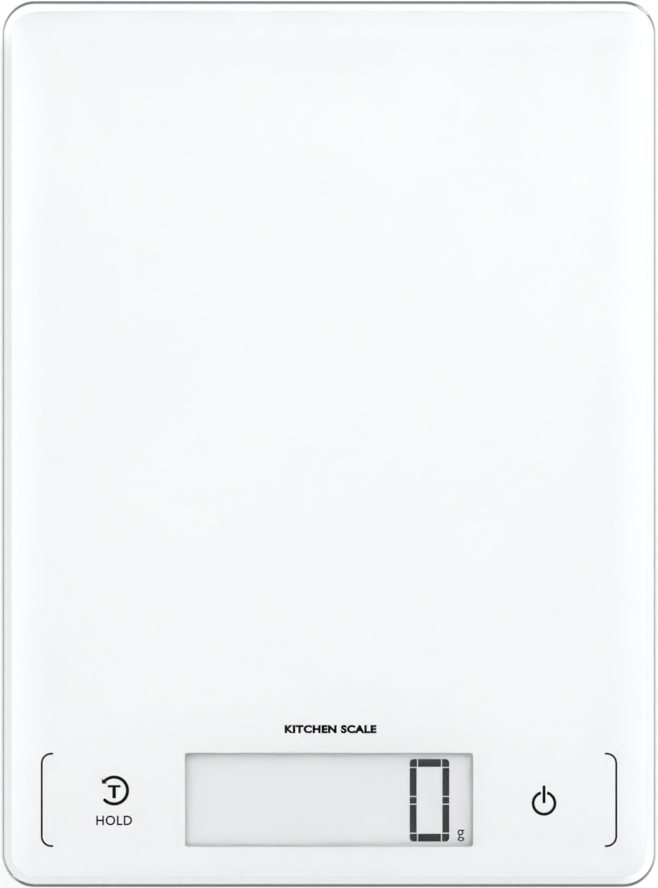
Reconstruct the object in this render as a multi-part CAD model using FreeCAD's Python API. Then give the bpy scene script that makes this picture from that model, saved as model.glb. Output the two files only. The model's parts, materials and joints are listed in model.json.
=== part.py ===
"""Digital kitchen scale: a large glass weighing plate on a slim housing with four load-cell feet.

Millimetres. Origin: middle of the object on the surface it stands on. +Z up, +Y away from the display.
The parts are made from the feet upwards, and each one is written to parts/NAME.step.
"""
import FreeCAD, Part
import math
import os

Vec = FreeCAD.Vector
UP = Vec(0, 0, 1)
ALONG_X = Vec(1, 0, 0)
os.makedirs("parts", exist_ok=True)

# ---------------------------------------------------------------- driving dimensions
# Weighing plate: float glass with a polished round edge
PLATE_WIDTH = 210.0
PLATE_DEPTH = 284.0
PLATE_THICKNESS = 4.0
PLATE_CORNER = 10.6
PLATE_EDGE_ROUND = 1.0

# Ink on the underside of the plate
INK_THICKNESS = 0.2
INK_MARGIN = 3.1
INK_CORNER = 7.5
SYMBOL_INK = 0.1

# Display window in the ink, and the display under it
WINDOW_WIDTH = 92.5
WINDOW_HEIGHT = 30.2
WINDOW_CORNER = 1.2
WINDOW_FROM_FRONT = 27.8
LCD_BORDER = 3.7
LCD_BORDER_FRONT = 1.2
LCD_CONTACT_LEDGE = 3.0
POLARISER = 0.2
LCD_GLASS = 1.1
LCD_LAYER = 0.1
REFLECTOR = 0.2
SEAL_WIDTH = 0.8
HOLDER_WALL = 1.6
HOLDER_LEDGE = 1.5
ZEBRA_THICKNESS = 1.8
ZEBRA_END = 4.0

# Lit digit
DIGIT_WIDTH = 12.7
DIGIT_HEIGHT = 26.5
DIGIT_SIDE = 2.2
DIGIT_BAR = 2.5
DIGIT_GAP = 0.35
DIGIT_CORNER = 1.2
DIGIT_X = 32.3
DIGIT_BELOW_MIDDLE = 0.3
UNIT_X = 42.4
UNIT_WIDTH = 2.3
UNIT_HEIGHT = 3.8
UNIT_STROKE = 0.5
UNIT_BELOW_MIDDLE = 11.6

# Touch keys and their symbols
TARE_X = -68.95
TARE_FROM_FRONT = 30.8
TARE_RING_RADIUS = 4.3
TARE_STROKE = 0.95
TARE_ARC_START = -135.0
TARE_ARC_SWEEP = 274.0
ARROW_LENGTH = 1.7
ARROW_X = -4.0
ARROW_Y = 2.2
TARE_T_WIDTH = 4.2
TARE_T_BAR = 0.8
TARE_T_STEM = 1.16
TARE_T_TOP = 1.76
TARE_T_FOOT = -2.5
HOLD_FROM_FRONT = 21.2
HOLD_HEIGHT = 3.2
HOLD_STROKE = 0.45
HOLD_H_WIDTH = 2.25
HOLD_L_WIDTH = 1.7
HOLD_STARTS = (-5.9, -2.8, 1.9, 4.0)
POWER_X = 69.0
POWER_FROM_FRONT = 26.7
POWER_RING_RADIUS = 3.5
POWER_STROKE = 0.88
POWER_GAP_ANGLE = 32.0
POWER_BAR = 5.7
BRACKET_OUTER_X = 92.5
BRACKET_TIP = 4.0
BRACKET_HEIGHT = 30.3
BRACKET_CORNER = 3.4
BRACKET_STROKE = 0.6
TOUCH_COIL_RADIUS = 3.4
TOUCH_WIRE = 0.5
TOUCH_TURNS = 4
TOUCH_HOLE_MARGIN = 1.2

# Housing
COVER_LIFT = 2.0
COVER_FLOOR = 1.6
COVER_WALL = 1.8
COVER_INSET_TOP = 6.0
COVER_INSET_BOTTOM = 10.0
COVER_CORNER = 9.0
COVER_EDGE_ROUND = 1.2
CARRIER_THICKNESS = 1.0
TAPE_THICKNESS = 0.7
TAPE_EDGE = 1.5
TAPE_WIDTH = 16.0
LABEL_WIDTH = 64.0
LABEL_DEPTH = 26.0
LABEL_CORNER = 2.0
LABEL_RECESS = 0.3
LABEL_Y = -38.0

# Screws: case, circuit board and foot bracket
CASE_SCREW_SHANK = 2.6
CASE_SCREW_HEAD = 5.0
CASE_SCREW_HEAD_HEIGHT = 1.6
CASE_SCREW_SUNK = 0.8
CASE_SCREW_BITE = 6.0
CASE_SCREW_FROM_SIDE = 19.0
CASE_SCREW_FROM_END = 77.0
REAR_SCREW_FROM_END = 18.0
BOSS_WALL = 1.7
SMALL_SCREW_SHANK = 2.0
SMALL_SCREW_HEAD = 3.8
SMALL_SCREW_HEAD_HEIGHT = 1.0
SMALL_SCREW_BITE = 3.6
SMALL_BOSS_WALL = 1.0
BRACKET_SCREW_SUNK = 0.3
DRIVE_WIDTH = 0.7
DRIVE_DEPTH = 0.6

# Foot: rubber pad, plastic foot, bracket and load cell
FOOT_FROM_SIDE = 29.0
FOOT_FROM_END = 34.0
FOOT_DIAMETER = 22.0
FOOT_FLANGE = 1.7
FOOT_FLANGE_HEIGHT = 1.0
FOOT_BOSS_DIAMETER = 7.0
FOOT_BOSS_HEIGHT = 0.9
FOOT_TRAVEL = 0.5
PAD_INSET = 1.0
PAD_HEIGHT = 1.5
PAD_SUNK = 0.5
BRACKET_PLATE = 1.6
BRACKET_POST = 3.0
EAR_LENGTH = 5.4
LOAD_CELL_SIZE = 25.0
LOAD_CELL_THICKNESS = 1.5
LOAD_CELL_FRAME = 2.5
LOAD_CELL_CORNER = 1.5
TONGUE_WIDTH = 9.0
TONGUE_REACH = 5.0
GAUGE_WIDTH = 4.0
GAUGE_LENGTH = 3.6
GAUGE_THICKNESS = 0.2
WELL_WALL = 1.6
WELL_ROOF = 0.8
LEAD_RADIUS = 0.4
LEAD_BEND = 10.0
LEAD_LANE = 16.5
LANE_STEP = 3.0
LANDING_INSET = 7.0

# Circuit board
BOARD_THICKNESS = 1.2
BOARD_PAST_KEY = 7.0
BOARD_FRONT = 17.0
BOARD_BACK = 22.0
BOARD_TO_DISPLAY = 1.3
BOARD_SCREW_X = 56.5
BOARD_SCREW_INSET = 4.0
CHIP_X = -30.0
CHIP_SIZE = 9.0
CHIP_HEIGHT = 1.2
COMPONENT_COUNT = 7
COMPONENT_PITCH = 3.5
COMPONENT_ROW = 8.5
CAPACITOR = (2.0, 1.25, 0.6)
RESISTOR = (1.6, 0.8, 0.5)
CRYSTAL_RADIUS = 1.0
CRYSTAL_LENGTH = 6.5

# Unit button on the underside
BUTTON_X = 30.0
BUTTON_DIAMETER = 8.0
BUTTON_FLANGE = 1.2
BUTTON_FLANGE_HEIGHT = 0.8
BUTTON_TRAVEL = 0.3
BUTTON_SUNK = 0.4
SWITCH_SIZE = 6.0
SWITCH_HEIGHT = 2.5
PLUNGER_DIAMETER = 3.0
PLUNGER_HEIGHT = 0.8

# Battery bay: three cells side by side, and a door that swings on two pins
CELL_DIAMETER = 10.5
CELL_LENGTH = 44.5
CELL_COUNT = 3
NUB_DIAMETER = 3.8
NUB_LENGTH = 0.8
CELL_GAP = 0.4
SPRING_LENGTH = 5.0
SPRING_WIDTH = 5.0
SPRING_SHEET = 0.4
SPRING_SPREAD = 3.4
SPRING_NOSE = 0.8
CONTACT_THICKNESS = 0.3
CONTACT_HEIGHT = 8.0
BAY_Y = 20.0
RIB_THICKNESS = 3.0
TAIL_WIDTH = 2.0
TAIL_REACH = 1.0
DOOR_THICKNESS = 1.4
DOOR_LEDGE = 1.0
BARREL_RADIUS = 1.4
PIN_RADIUS = 0.8
PIN_LENGTH = 2.9
LATCH_WIDTH = 10.0
LATCH_BLADE = 0.9
LATCH_RISE = 3.2
LATCH_NOSE = 0.9
LATCH_NOSE_HEIGHT = 1.6
LATCH_POCKET = 3.6
LATCH_POCKET_HEIGHT = 6.0
BATTERY_LEAD_RADIUS = 0.6

# Clearances
FIT = 0.2            # a part that drops into its seat
SWING = 0.3          # a part that moves past another
PIN_FIT = 0.05       # a pin in its hole, on the radius
FLANGE_PLAY = 0.1    # a flange over the plate that holds it
SWEPT = 0.5          # a floor edge beside the swinging door

# ---------------------------------------------------------------- derived places
PLATE_FRONT = -PLATE_DEPTH / 2
WINDOW_Y = PLATE_FRONT + WINDOW_FROM_FRONT
TARE_Y = PLATE_FRONT + TARE_FROM_FRONT
POWER_Y = PLATE_FRONT + POWER_FROM_FRONT
FOOT_X = PLATE_WIDTH / 2 - FOOT_FROM_SIDE
FOOT_Y = PLATE_DEPTH / 2 - FOOT_FROM_END
BRACKET_HALF = max(LOAD_CELL_SIZE / 2 + BRACKET_POST / 2, FOOT_DIAMETER / 2 + FOOT_FLANGE + SWEPT)

# Foot stack, from the floor of the cover upwards
FLOOR_TOP = COVER_LIFT + COVER_FLOOR
BRACKET_TOP = COVER_LIFT + BRACKET_PLATE
FLANGE_BOTTOM = BRACKET_TOP + FLANGE_PLAY
LOAD_CELL_BOTTOM = FLANGE_BOTTOM + FOOT_FLANGE_HEIGHT + FOOT_BOSS_HEIGHT
LOAD_CELL_TOP = LOAD_CELL_BOTTOM + LOAD_CELL_THICKNESS
POCKET_TOP = LOAD_CELL_TOP + GAUGE_THICKNESS + FOOT_TRAVEL + SWING
WELL_TOP = POCKET_TOP + WELL_ROOF

# Circuit board and display, above the foot wells
BOARD_BOTTOM = WELL_TOP + SMALL_SCREW_HEAD_HEIGHT + SWING
BOARD_TOP = BOARD_BOTTOM + BOARD_THICKNESS
DISPLAY_STACK = REFLECTOR + 2 * LCD_GLASS + LCD_LAYER + POLARISER

# The housing is as high as its taller stack: the display's, or the battery cells'
CELL_BOTTOM = COVER_LIFT + DOOR_THICKNESS + FIT
CELLS_NEED = CELL_BOTTOM + CELL_DIAMETER + FIT
DISPLAY_NEEDS = BOARD_TOP + BOARD_TO_DISPLAY + DISPLAY_STACK - CARRIER_THICKNESS
CARRIER_BOTTOM = max(CELLS_NEED, DISPLAY_NEEDS)
CARRIER_TOP = CARRIER_BOTTOM + CARRIER_THICKNESS
INK_BOTTOM = CARRIER_TOP + TAPE_THICKNESS
INK_TOP = INK_BOTTOM + INK_THICKNESS
PLATE_TOP = INK_TOP + PLATE_THICKNESS

POLARISER_BOTTOM = CARRIER_TOP - POLARISER
FRONT_GLASS_BOTTOM = POLARISER_BOTTOM - LCD_GLASS
REAR_GLASS_TOP = FRONT_GLASS_BOTTOM - LCD_LAYER
REAR_GLASS_BOTTOM = REAR_GLASS_TOP - LCD_GLASS
DISPLAY_BOTTOM = REAR_GLASS_BOTTOM - REFLECTOR

# Display outline: a plain border, and a wider contact ledge at its back edge
LCD_X = WINDOW_WIDTH / 2 + LCD_BORDER
LCD_FRONT = WINDOW_Y - WINDOW_HEIGHT / 2 - LCD_BORDER_FRONT
LCD_REAR_EDGE = WINDOW_Y + WINDOW_HEIGHT / 2 + LCD_BORDER_FRONT
LCD_BACK = LCD_REAR_EDGE + LCD_CONTACT_LEDGE
BOARD_FRONT_Y = WINDOW_Y - BOARD_FRONT
BOARD_BACK_Y = WINDOW_Y + BOARD_BACK

# Battery bay
BAY_LENGTH = CELL_LENGTH + SPRING_LENGTH + 2 * CONTACT_THICKNESS
BAY_X = BAY_LENGTH / 2
CELL_PITCH = CELL_DIAMETER + CELL_GAP
BAY_HALF_WIDTH = (CELL_COUNT * CELL_DIAMETER + (CELL_COUNT + 1) * CELL_GAP) / 2
BAY_FRONT = BAY_Y - BAY_HALF_WIDTH
BAY_BACK = BAY_Y + BAY_HALF_WIDTH
CELL_Z = CELL_BOTTOM + CELL_DIAMETER / 2
BAY_REAR_WALL = BAY_BACK + FLANGE_PLAY + 2 * BARREL_RADIUS + SWEPT
HINGE_Y = BAY_BACK + FLANGE_PLAY + BARREL_RADIUS
HINGE_Z = COVER_LIFT + DOOR_THICKNESS + FLANGE_PLAY
SEAT_Z = COVER_LIFT + DOOR_THICKNESS + FLANGE_PLAY
DOOR_FRONT = BAY_FRONT - DOOR_LEDGE


# ---------------------------------------------------------------- building helpers
def outline(width, depth, corner, z, at=(0.0, 0.0)):
    """Closed wire round a rectangle with round corners."""
    reach_x = width / 2 - corner
    reach_y = depth / 2 - corner
    quarters = [(reach_x, reach_y, 0), (-reach_x, reach_y, 90),
                (-reach_x, -reach_y, 180), (reach_x, -reach_y, 270)]
    arcs = []
    for x, y, start in quarters:
        turns = [math.radians(start + step) for step in (0, 45, 90)]
        arcs.append([Vec(at[0] + x + corner * math.cos(a), at[1] + y + corner * math.sin(a), z) for a in turns])
    edges = []
    for arc, following in zip(arcs, arcs[1:] + arcs[:1]):
        edges.append(Part.Arc(*arc).toShape())
        edges.append(Part.makeLine(arc[-1], following[0]))
    return Part.Wire(edges)


def slab(width, depth, corner, z0, z1, at=(0.0, 0.0)):
    """Flat plate with round corners."""
    return Part.Face(outline(width, depth, corner, z0, at)).extrude(Vec(0, 0, z1 - z0))


def block(x0, x1, y0, y1, z0, z1):
    return Part.makeBox(x1 - x0, y1 - y0, z1 - z0, Vec(x0, y0, z0))


def disc(radius, z0, z1, x, y):
    return Part.makeCylinder(radius, z1 - z0, Vec(x, y, z0))


def rod_along_x(radius, x0, x1, y, z):
    return Part.makeCylinder(radius, x1 - x0, Vec(x0, y, z), ALONG_X)


def arc_band(radius, stroke, start, sweep, z0, z1, x, y):
    """Part of a flat ring, its sweep counted anticlockwise from an angle in degrees."""
    outer = Part.makeCylinder(radius + stroke / 2, z1 - z0, Vec(x, y, z0), UP, sweep)
    inner = disc(radius - stroke / 2, z0 - 1, z1 + 1, x, y)
    outer.rotate(Vec(x, y, 0), UP, start)
    return outer.cut(inner)


def fused(shapes):
    """One clean solid from pieces that meet or overlap."""
    whole = shapes[0]
    if len(shapes) > 1:
        whole = shapes[0].fuse(shapes[1:])
    whole = whole.removeSplitter()
    return whole.Solids[0] if len(whole.Solids) == 1 else whole


def group(shapes):
    """Separate solids kept in one node."""
    return Part.makeCompound([solid for shape in shapes for solid in shape.Solids])


def save(name, shape):
    if len(shape.Solids) == 1:
        shape = shape.Solids[0]
    shape.exportStep(f"parts/{name}.step")


def coil(radius, wire_radius, length, turns):
    """Helical spring standing on the XY plane."""
    rise = length - 2 * wire_radius
    path = Part.makeHelix(rise / turns, rise, radius)
    path.translate(Vec(0, 0, wire_radius))
    section = Part.Wire(Part.makeCircle(wire_radius, Vec(radius, 0, wire_radius), Vec(0, 1, 0)))
    return Part.Wire(path.Edges).makePipeShell([section], True, True)


def tube_along(points, radius, widest_bend):
    """Insulated lead: straight runs joined by tangent arcs."""
    edges = []
    start = points[0]
    for before, corner, after in zip(points, points[1:], points[2:]):
        back = (before - corner).normalize()
        ahead = (after - corner).normalize()
        half_turn = (math.pi - back.getAngle(ahead)) / 2
        shorter = min((before - corner).Length, (after - corner).Length)
        bend = min(widest_bend, 0.45 * shorter / math.tan(half_turn))
        trim = bend * math.tan(half_turn)
        inward = (back + ahead).normalize()
        middle = corner + inward * (bend / math.cos(half_turn) - bend)
        first = corner + back * trim
        last = corner + ahead * trim
        edges.append(Part.makeLine(start, first))
        edges.append(Part.Arc(first, middle, last).toShape())
        start = last
    edges.append(Part.makeLine(start, points[-1]))
    heading = points[1] - points[0]
    section = Part.Wire(Part.makeCircle(radius, points[0], heading))
    return Part.Wire(edges).makePipeShell([section], True, False)


def screw(x, y, underside, head_height, head, shank, reach):
    """Pan-head screw driven upwards, with a cross recess in the head."""
    body = disc(head / 2, underside, underside + head_height, x, y)
    body = body.fuse(disc(shank / 2, underside + head_height, reach, x, y))
    for turn in (0, 90):
        slot = block(x - head / 3, x + head / 3, y - DRIVE_WIDTH / 2, y + DRIVE_WIDTH / 2,
                     underside, underside + DRIVE_DEPTH)
        slot.rotate(Vec(x, y, 0), UP, turn)
        body = body.cut(slot)
    return body


def foot_places():
    """Name, middle and direction to the nearer side of each foot."""
    for end, y in (("front", -FOOT_Y), ("rear", FOOT_Y)):
        for side, sign in (("left", -1), ("right", 1)):
            yield f"{end}_{side}", sign * FOOT_X, y, sign


# ---------------------------------------------------------------- glass plate and its ink
def glass_plate():
    plate = slab(PLATE_WIDTH, PLATE_DEPTH, PLATE_CORNER, INK_TOP, PLATE_TOP)
    rim = [e for e in plate.Edges if abs(e.BoundBox.ZLength) < 1e-6]
    return plate.makeFillet(PLATE_EDGE_ROUND, rim)


def symbol_solids():
    """Black ink, printed straight on the glass: two brackets and the marks of the touch keys."""
    z0 = INK_TOP - SYMBOL_INK
    z1 = INK_TOP
    at = (0.0, WINDOW_Y)
    frame = slab(2 * BRACKET_OUTER_X, BRACKET_HEIGHT, BRACKET_CORNER, z0, z1, at)
    frame = frame.cut(slab(2 * (BRACKET_OUTER_X - BRACKET_STROKE), BRACKET_HEIGHT - 2 * BRACKET_STROKE,
                           BRACKET_CORNER - BRACKET_STROKE, z0, z1, at))
    inner = BRACKET_OUTER_X - BRACKET_TIP
    frame = frame.cut(block(-inner, inner, WINDOW_Y - BRACKET_HEIGHT, WINDOW_Y + BRACKET_HEIGHT, z0, z1))
    # tare key: an arrow that turns back to zero, round a T
    ring = arc_band(TARE_RING_RADIUS, TARE_STROKE, TARE_ARC_START, TARE_ARC_SWEEP, z0, z1, TARE_X, TARE_Y)
    corner = Vec(TARE_X + ARROW_X, TARE_Y + ARROW_Y, z0)
    head = [corner + Vec(0, ARROW_LENGTH, 0), corner, corner + Vec(ARROW_LENGTH, 0, 0)]
    arrow = Part.Face(Part.makePolygon(head + head[:1])).extrude(Vec(0, 0, SYMBOL_INK))
    top = TARE_Y + TARE_T_TOP
    bar_half = TARE_T_WIDTH / 2
    stem_half = TARE_T_STEM / 2
    letter_t = fused([block(TARE_X - bar_half, TARE_X + bar_half, top - TARE_T_BAR, top, z0, z1),
                      block(TARE_X - stem_half, TARE_X + stem_half, TARE_Y + TARE_T_FOOT, top, z0, z1)])
    # power key: an open ring with a bar
    open_ring = arc_band(POWER_RING_RADIUS, POWER_STROKE, 90 + POWER_GAP_ANGLE / 2, 360 - POWER_GAP_ANGLE,
                         z0, z1, POWER_X, POWER_Y)
    bar = block(POWER_X - POWER_STROKE / 2, POWER_X + POWER_STROKE / 2, POWER_Y, POWER_Y + POWER_BAR, z0, z1)
    return [frame, ring, arrow, letter_t, open_ring, bar] + hold_letters(z0, z1)


def hold_letters(z0, z1):
    """The word HOLD under the tare mark, in thin strokes."""
    base = PLATE_FRONT + HOLD_FROM_FRONT - HOLD_HEIGHT / 2
    top = base + HOLD_HEIGHT
    middle = (base + top) / 2
    s = HOLD_STROKE
    bow = (HOLD_HEIGHT - s) / 2
    x_h, x_o, x_l, x_d = [TARE_X + start for start in HOLD_STARTS]
    far_leg = x_h + HOLD_H_WIDTH - s
    letter_h = fused([block(x_h, x_h + s, base, top, z0, z1), block(far_leg, far_leg + s, base, top, z0, z1),
                      block(x_h, far_leg, middle - s / 2, middle + s / 2, z0, z1)])
    letter_o = arc_band(bow, s, 0, 360, z0, z1, x_o + HOLD_HEIGHT / 2, middle)
    letter_l = fused([block(x_l, x_l + s, base, top, z0, z1),
                      block(x_l, x_l + HOLD_L_WIDTH, base, base + s, z0, z1)])
    letter_d = fused([block(x_d, x_d + s, base, top, z0, z1),
                      arc_band(bow, s, -90, 180, z0, z1, x_d + s / 2, middle)])
    return [letter_h, letter_o, letter_l, letter_d]


symbols = symbol_solids()
ink = slab(PLATE_WIDTH - 2 * INK_MARGIN, PLATE_DEPTH - 2 * INK_MARGIN, INK_CORNER, INK_BOTTOM, INK_TOP)
ink = ink.cut(slab(WINDOW_WIDTH, WINDOW_HEIGHT, WINDOW_CORNER, INK_BOTTOM, INK_TOP, (0.0, WINDOW_Y)))
ink = ink.cut(symbols)
save("glass_platform", glass_plate())
save("white_print", ink)
save("printed_symbols", group(symbols))


# ---------------------------------------------------------------- display
def lit_digit(z0, z1):
    """A zero made of twelve lit blocks, with thin dark gaps between them."""
    y = WINDOW_Y - DIGIT_BELOW_MIDDLE
    ring = slab(DIGIT_WIDTH, DIGIT_HEIGHT, DIGIT_CORNER, z0, z1, (DIGIT_X, y))
    ring = ring.cut(block(DIGIT_X - DIGIT_WIDTH / 2 + DIGIT_SIDE, DIGIT_X + DIGIT_WIDTH / 2 - DIGIT_SIDE,
                          y - DIGIT_HEIGHT / 2 + DIGIT_BAR, y + DIGIT_HEIGHT / 2 - DIGIT_BAR, z0, z1))
    gap = DIGIT_GAP / 2
    split = DIGIT_WIDTH / 2 - DIGIT_BAR
    for x in (DIGIT_X - split, DIGIT_X + split):
        ring = ring.cut(block(x - gap, x + gap, y - DIGIT_HEIGHT, y + DIGIT_HEIGHT, z0, z1))
    corner_split = DIGIT_HEIGHT / 2 - DIGIT_BAR - gap
    middle_split = DIGIT_BAR / 2
    for offset in (-corner_split, -middle_split, middle_split, corner_split):
        split_y = y + offset
        ring = ring.cut(block(DIGIT_X - DIGIT_WIDTH, DIGIT_X + DIGIT_WIDTH,
                              split_y - gap, split_y + gap, z0, z1))
    return ring


def unit_letter(z0, z1):
    """The small g after the digit: a bowl, a stem and a hook."""
    y = WINDOW_Y - UNIT_BELOW_MIDDLE
    s = UNIT_STROKE
    bowl = UNIT_WIDTH / 2 - s / 2
    rise = UNIT_HEIGHT / 2 - UNIT_WIDTH / 2
    stem = block(UNIT_X + bowl - s / 2, UNIT_X + bowl + s / 2, y - rise, y + UNIT_HEIGHT / 2, z0, z1)
    return fused([arc_band(bowl, s, 0, 360, z0, z1, UNIT_X, y + rise), stem,
                  arc_band(bowl, s, 200, 160, z0, z1, UNIT_X, y - rise)])


def display_plate(z0, z1, back):
    return block(-LCD_X, LCD_X, LCD_FRONT, back, z0, z1)


segments = group([lit_digit(REAR_GLASS_TOP, FRONT_GLASS_BOTTOM),
                  unit_letter(REAR_GLASS_TOP, FRONT_GLASS_BOTTOM)])
seal_inner = block(-LCD_X + SEAL_WIDTH, LCD_X - SEAL_WIDTH, LCD_FRONT + SEAL_WIDTH, LCD_REAR_EDGE - SEAL_WIDTH,
                   REAR_GLASS_TOP, FRONT_GLASS_BOTTOM)
save("lcd_polariser", display_plate(POLARISER_BOTTOM, CARRIER_TOP, LCD_BACK))
save("lcd_front_plate", display_plate(FRONT_GLASS_BOTTOM, POLARISER_BOTTOM, LCD_BACK))
save("lcd_segments", segments)
save("lcd_seal", display_plate(REAR_GLASS_TOP, FRONT_GLASS_BOTTOM, LCD_REAR_EDGE).cut(seal_inner))
save("lcd_rear_plate", display_plate(REAR_GLASS_BOTTOM, REAR_GLASS_TOP, LCD_REAR_EDGE))
save("lcd_reflector", display_plate(DISPLAY_BOTTOM, REAR_GLASS_BOTTOM, LCD_REAR_EDGE))

# Foam gasket between the display and the ink, round the window
gasket = block(-LCD_X, LCD_X, LCD_FRONT, LCD_BACK, CARRIER_TOP, INK_BOTTOM)
gasket = gasket.cut(slab(WINDOW_WIDTH + 2 * FIT, WINDOW_HEIGHT + 2 * FIT, WINDOW_CORNER,
                         CARRIER_TOP, INK_BOTTOM, (0.0, WINDOW_Y)))
save("lcd_gasket", gasket)

# Holder: stands on the board, carries the display on an inner ledge, open at the back for the contact strip
holder = block(-LCD_X - FIT - HOLDER_WALL, LCD_X + FIT + HOLDER_WALL, LCD_FRONT - FIT - HOLDER_WALL,
               LCD_BACK + FIT + HOLDER_WALL, BOARD_TOP, CARRIER_BOTTOM)
holder = holder.cut(block(-LCD_X - FIT, LCD_X + FIT, LCD_FRONT - FIT, LCD_BACK + FIT,
                          DISPLAY_BOTTOM, CARRIER_BOTTOM))
holder = holder.cut(block(-LCD_X + HOLDER_LEDGE, LCD_X - HOLDER_LEDGE, LCD_FRONT + HOLDER_LEDGE, LCD_BACK + FIT,
                          BOARD_TOP, DISPLAY_BOTTOM))
save("lcd_holder", holder)

# Elastomer contact strip between the ledge of the front plate and the board
zebra_y = LCD_REAR_EDGE + (LCD_CONTACT_LEDGE - ZEBRA_THICKNESS) / 2
save("zebra_strip", block(-LCD_X + ZEBRA_END, LCD_X - ZEBRA_END, zebra_y + FIT, zebra_y + ZEBRA_THICKNESS,
                          BOARD_TOP, FRONT_GLASS_BOTTOM))

# ---------------------------------------------------------------- circuit board
BOARD_LEFT = TARE_X - BOARD_PAST_KEY
BOARD_RIGHT = POWER_X + BOARD_PAST_KEY
SWITCH_Y = WINDOW_Y
board_screws = [(x, y) for x in (-BOARD_SCREW_X, BOARD_SCREW_X)
                for y in (BOARD_FRONT_Y + BOARD_SCREW_INSET, BOARD_BACK_Y - BOARD_SCREW_INSET)]
board = block(BOARD_LEFT, BOARD_RIGHT, BOARD_FRONT_Y, BOARD_BACK_Y, BOARD_BOTTOM, BOARD_TOP)
for x, y in board_screws:
    board = board.cut(disc(SMALL_SCREW_SHANK / 2 + PIN_FIT, BOARD_BOTTOM, BOARD_TOP, x, y))
save("main_pcb", board)
save("pcb_screws", group([screw(x, y, BOARD_BOTTOM - SMALL_SCREW_HEAD_HEIGHT, SMALL_SCREW_HEAD_HEIGHT,
                                SMALL_SCREW_HEAD, SMALL_SCREW_SHANK, CARRIER_BOTTOM) for x, y in board_screws]))
chip = block(CHIP_X - CHIP_SIZE / 2, CHIP_X + CHIP_SIZE / 2, WINDOW_Y - CHIP_SIZE / 2, WINDOW_Y + CHIP_SIZE / 2,
             BOARD_BOTTOM - CHIP_HEIGHT, BOARD_BOTTOM)
save("controller_chip", chip)
components = []
for step in range(COMPONENT_COUNT):
    x = CHIP_X + CHIP_SIZE + COMPONENT_PITCH * step
    for (length, width, height), row_y in ((CAPACITOR, COMPONENT_ROW), (RESISTOR, -COMPONENT_ROW)):
        y = WINDOW_Y + row_y
        components.append(block(x, x + length, y - width / 2, y + width / 2,
                                BOARD_BOTTOM - height, BOARD_BOTTOM))
crystal_end = CHIP_X - CHIP_SIZE
components.append(rod_along_x(CRYSTAL_RADIUS, crystal_end - CRYSTAL_LENGTH, crystal_end, WINDOW_Y,
                              BOARD_BOTTOM - CRYSTAL_RADIUS))
save("pcb_components", group(components))

# Touch springs: from the board up to the ink under each key
touch_keys = (("tare", TARE_X, TARE_Y), ("power", POWER_X, POWER_Y))
for name, x, y in touch_keys:
    spring = coil(TOUCH_COIL_RADIUS, TOUCH_WIRE / 2, INK_BOTTOM - BOARD_TOP, TOUCH_TURNS)
    spring.translate(Vec(x, y, BOARD_TOP))
    save(f"{name}_touch_spring", spring)

# Unit switch under the board, pressed by a button in the floor
switch_bottom = BOARD_BOTTOM - SWITCH_HEIGHT
plunger_bottom = switch_bottom - PLUNGER_HEIGHT
switch = block(BUTTON_X - SWITCH_SIZE / 2, BUTTON_X + SWITCH_SIZE / 2, SWITCH_Y - SWITCH_SIZE / 2,
               SWITCH_Y + SWITCH_SIZE / 2, switch_bottom, BOARD_BOTTOM)
switch = switch.cut(disc(PLUNGER_DIAMETER / 2 + PIN_FIT, switch_bottom, switch_bottom + SWITCH_HEIGHT / 2,
                         BUTTON_X, SWITCH_Y))
save("unit_switch", switch)
plunger_top = switch_bottom + SWITCH_HEIGHT / 2 - BUTTON_TRAVEL - FLANGE_PLAY
save("unit_switch_plunger", disc(PLUNGER_DIAMETER / 2, plunger_bottom, plunger_top, BUTTON_X, SWITCH_Y))
flange_bottom = FLOOR_TOP + FLANGE_PLAY
flange_top = flange_bottom + BUTTON_FLANGE_HEIGHT
save("unit_button", fused([
    disc(BUTTON_DIAMETER / 2, COVER_LIFT + BUTTON_SUNK, flange_bottom, BUTTON_X, SWITCH_Y),
    disc(BUTTON_DIAMETER / 2 + BUTTON_FLANGE, flange_bottom, flange_top, BUTTON_X, SWITCH_Y),
    disc(PLUNGER_DIAMETER / 2, flange_top, plunger_bottom, BUTTON_X, SWITCH_Y)]))

# ---------------------------------------------------------------- carrier and adhesive
case_x = PLATE_WIDTH / 2 - CASE_SCREW_FROM_SIDE
case_y = PLATE_DEPTH / 2 - CASE_SCREW_FROM_END
case_screws = [(x, y) for x in (-case_x, case_x) for y in (-case_y, case_y)]
case_screws.append((0.0, PLATE_DEPTH / 2 - REAR_SCREW_FROM_END))
case_screws.append((0.0, BOARD_BACK_Y + CASE_SCREW_HEAD / 2 + BOSS_WALL + COVER_WALL))
HEAD_BOTTOM = COVER_LIFT + CASE_SCREW_SUNK
HEAD_TOP = HEAD_BOTTOM + CASE_SCREW_HEAD_HEIGHT
BOSS_SPLIT = CARRIER_BOTTOM - CASE_SCREW_BITE
BOSS_RADIUS = CASE_SCREW_SHANK / 2 + BOSS_WALL

COVER_TOP_WIDTH = PLATE_WIDTH - 2 * COVER_INSET_TOP
COVER_TOP_DEPTH = PLATE_DEPTH - 2 * COVER_INSET_TOP
display_gap = block(-LCD_X - FIT, LCD_X + FIT, LCD_FRONT - FIT, LCD_BACK + FIT, CARRIER_BOTTOM, INK_BOTTOM)
key_holes = [disc(TOUCH_COIL_RADIUS + TOUCH_HOLE_MARGIN, CARRIER_BOTTOM, INK_BOTTOM, x, y)
             for _, x, y in touch_keys]
carrier = [slab(COVER_TOP_WIDTH, COVER_TOP_DEPTH, COVER_CORNER, CARRIER_BOTTOM, CARRIER_TOP)]
carrier += [disc(BOSS_RADIUS, BOSS_SPLIT, CARRIER_BOTTOM, x, y) for x, y in case_screws]
carrier += [disc(SMALL_SCREW_SHANK / 2 + SMALL_BOSS_WALL, BOARD_TOP, CARRIER_BOTTOM, x, y)
            for x, y in board_screws]
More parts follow.
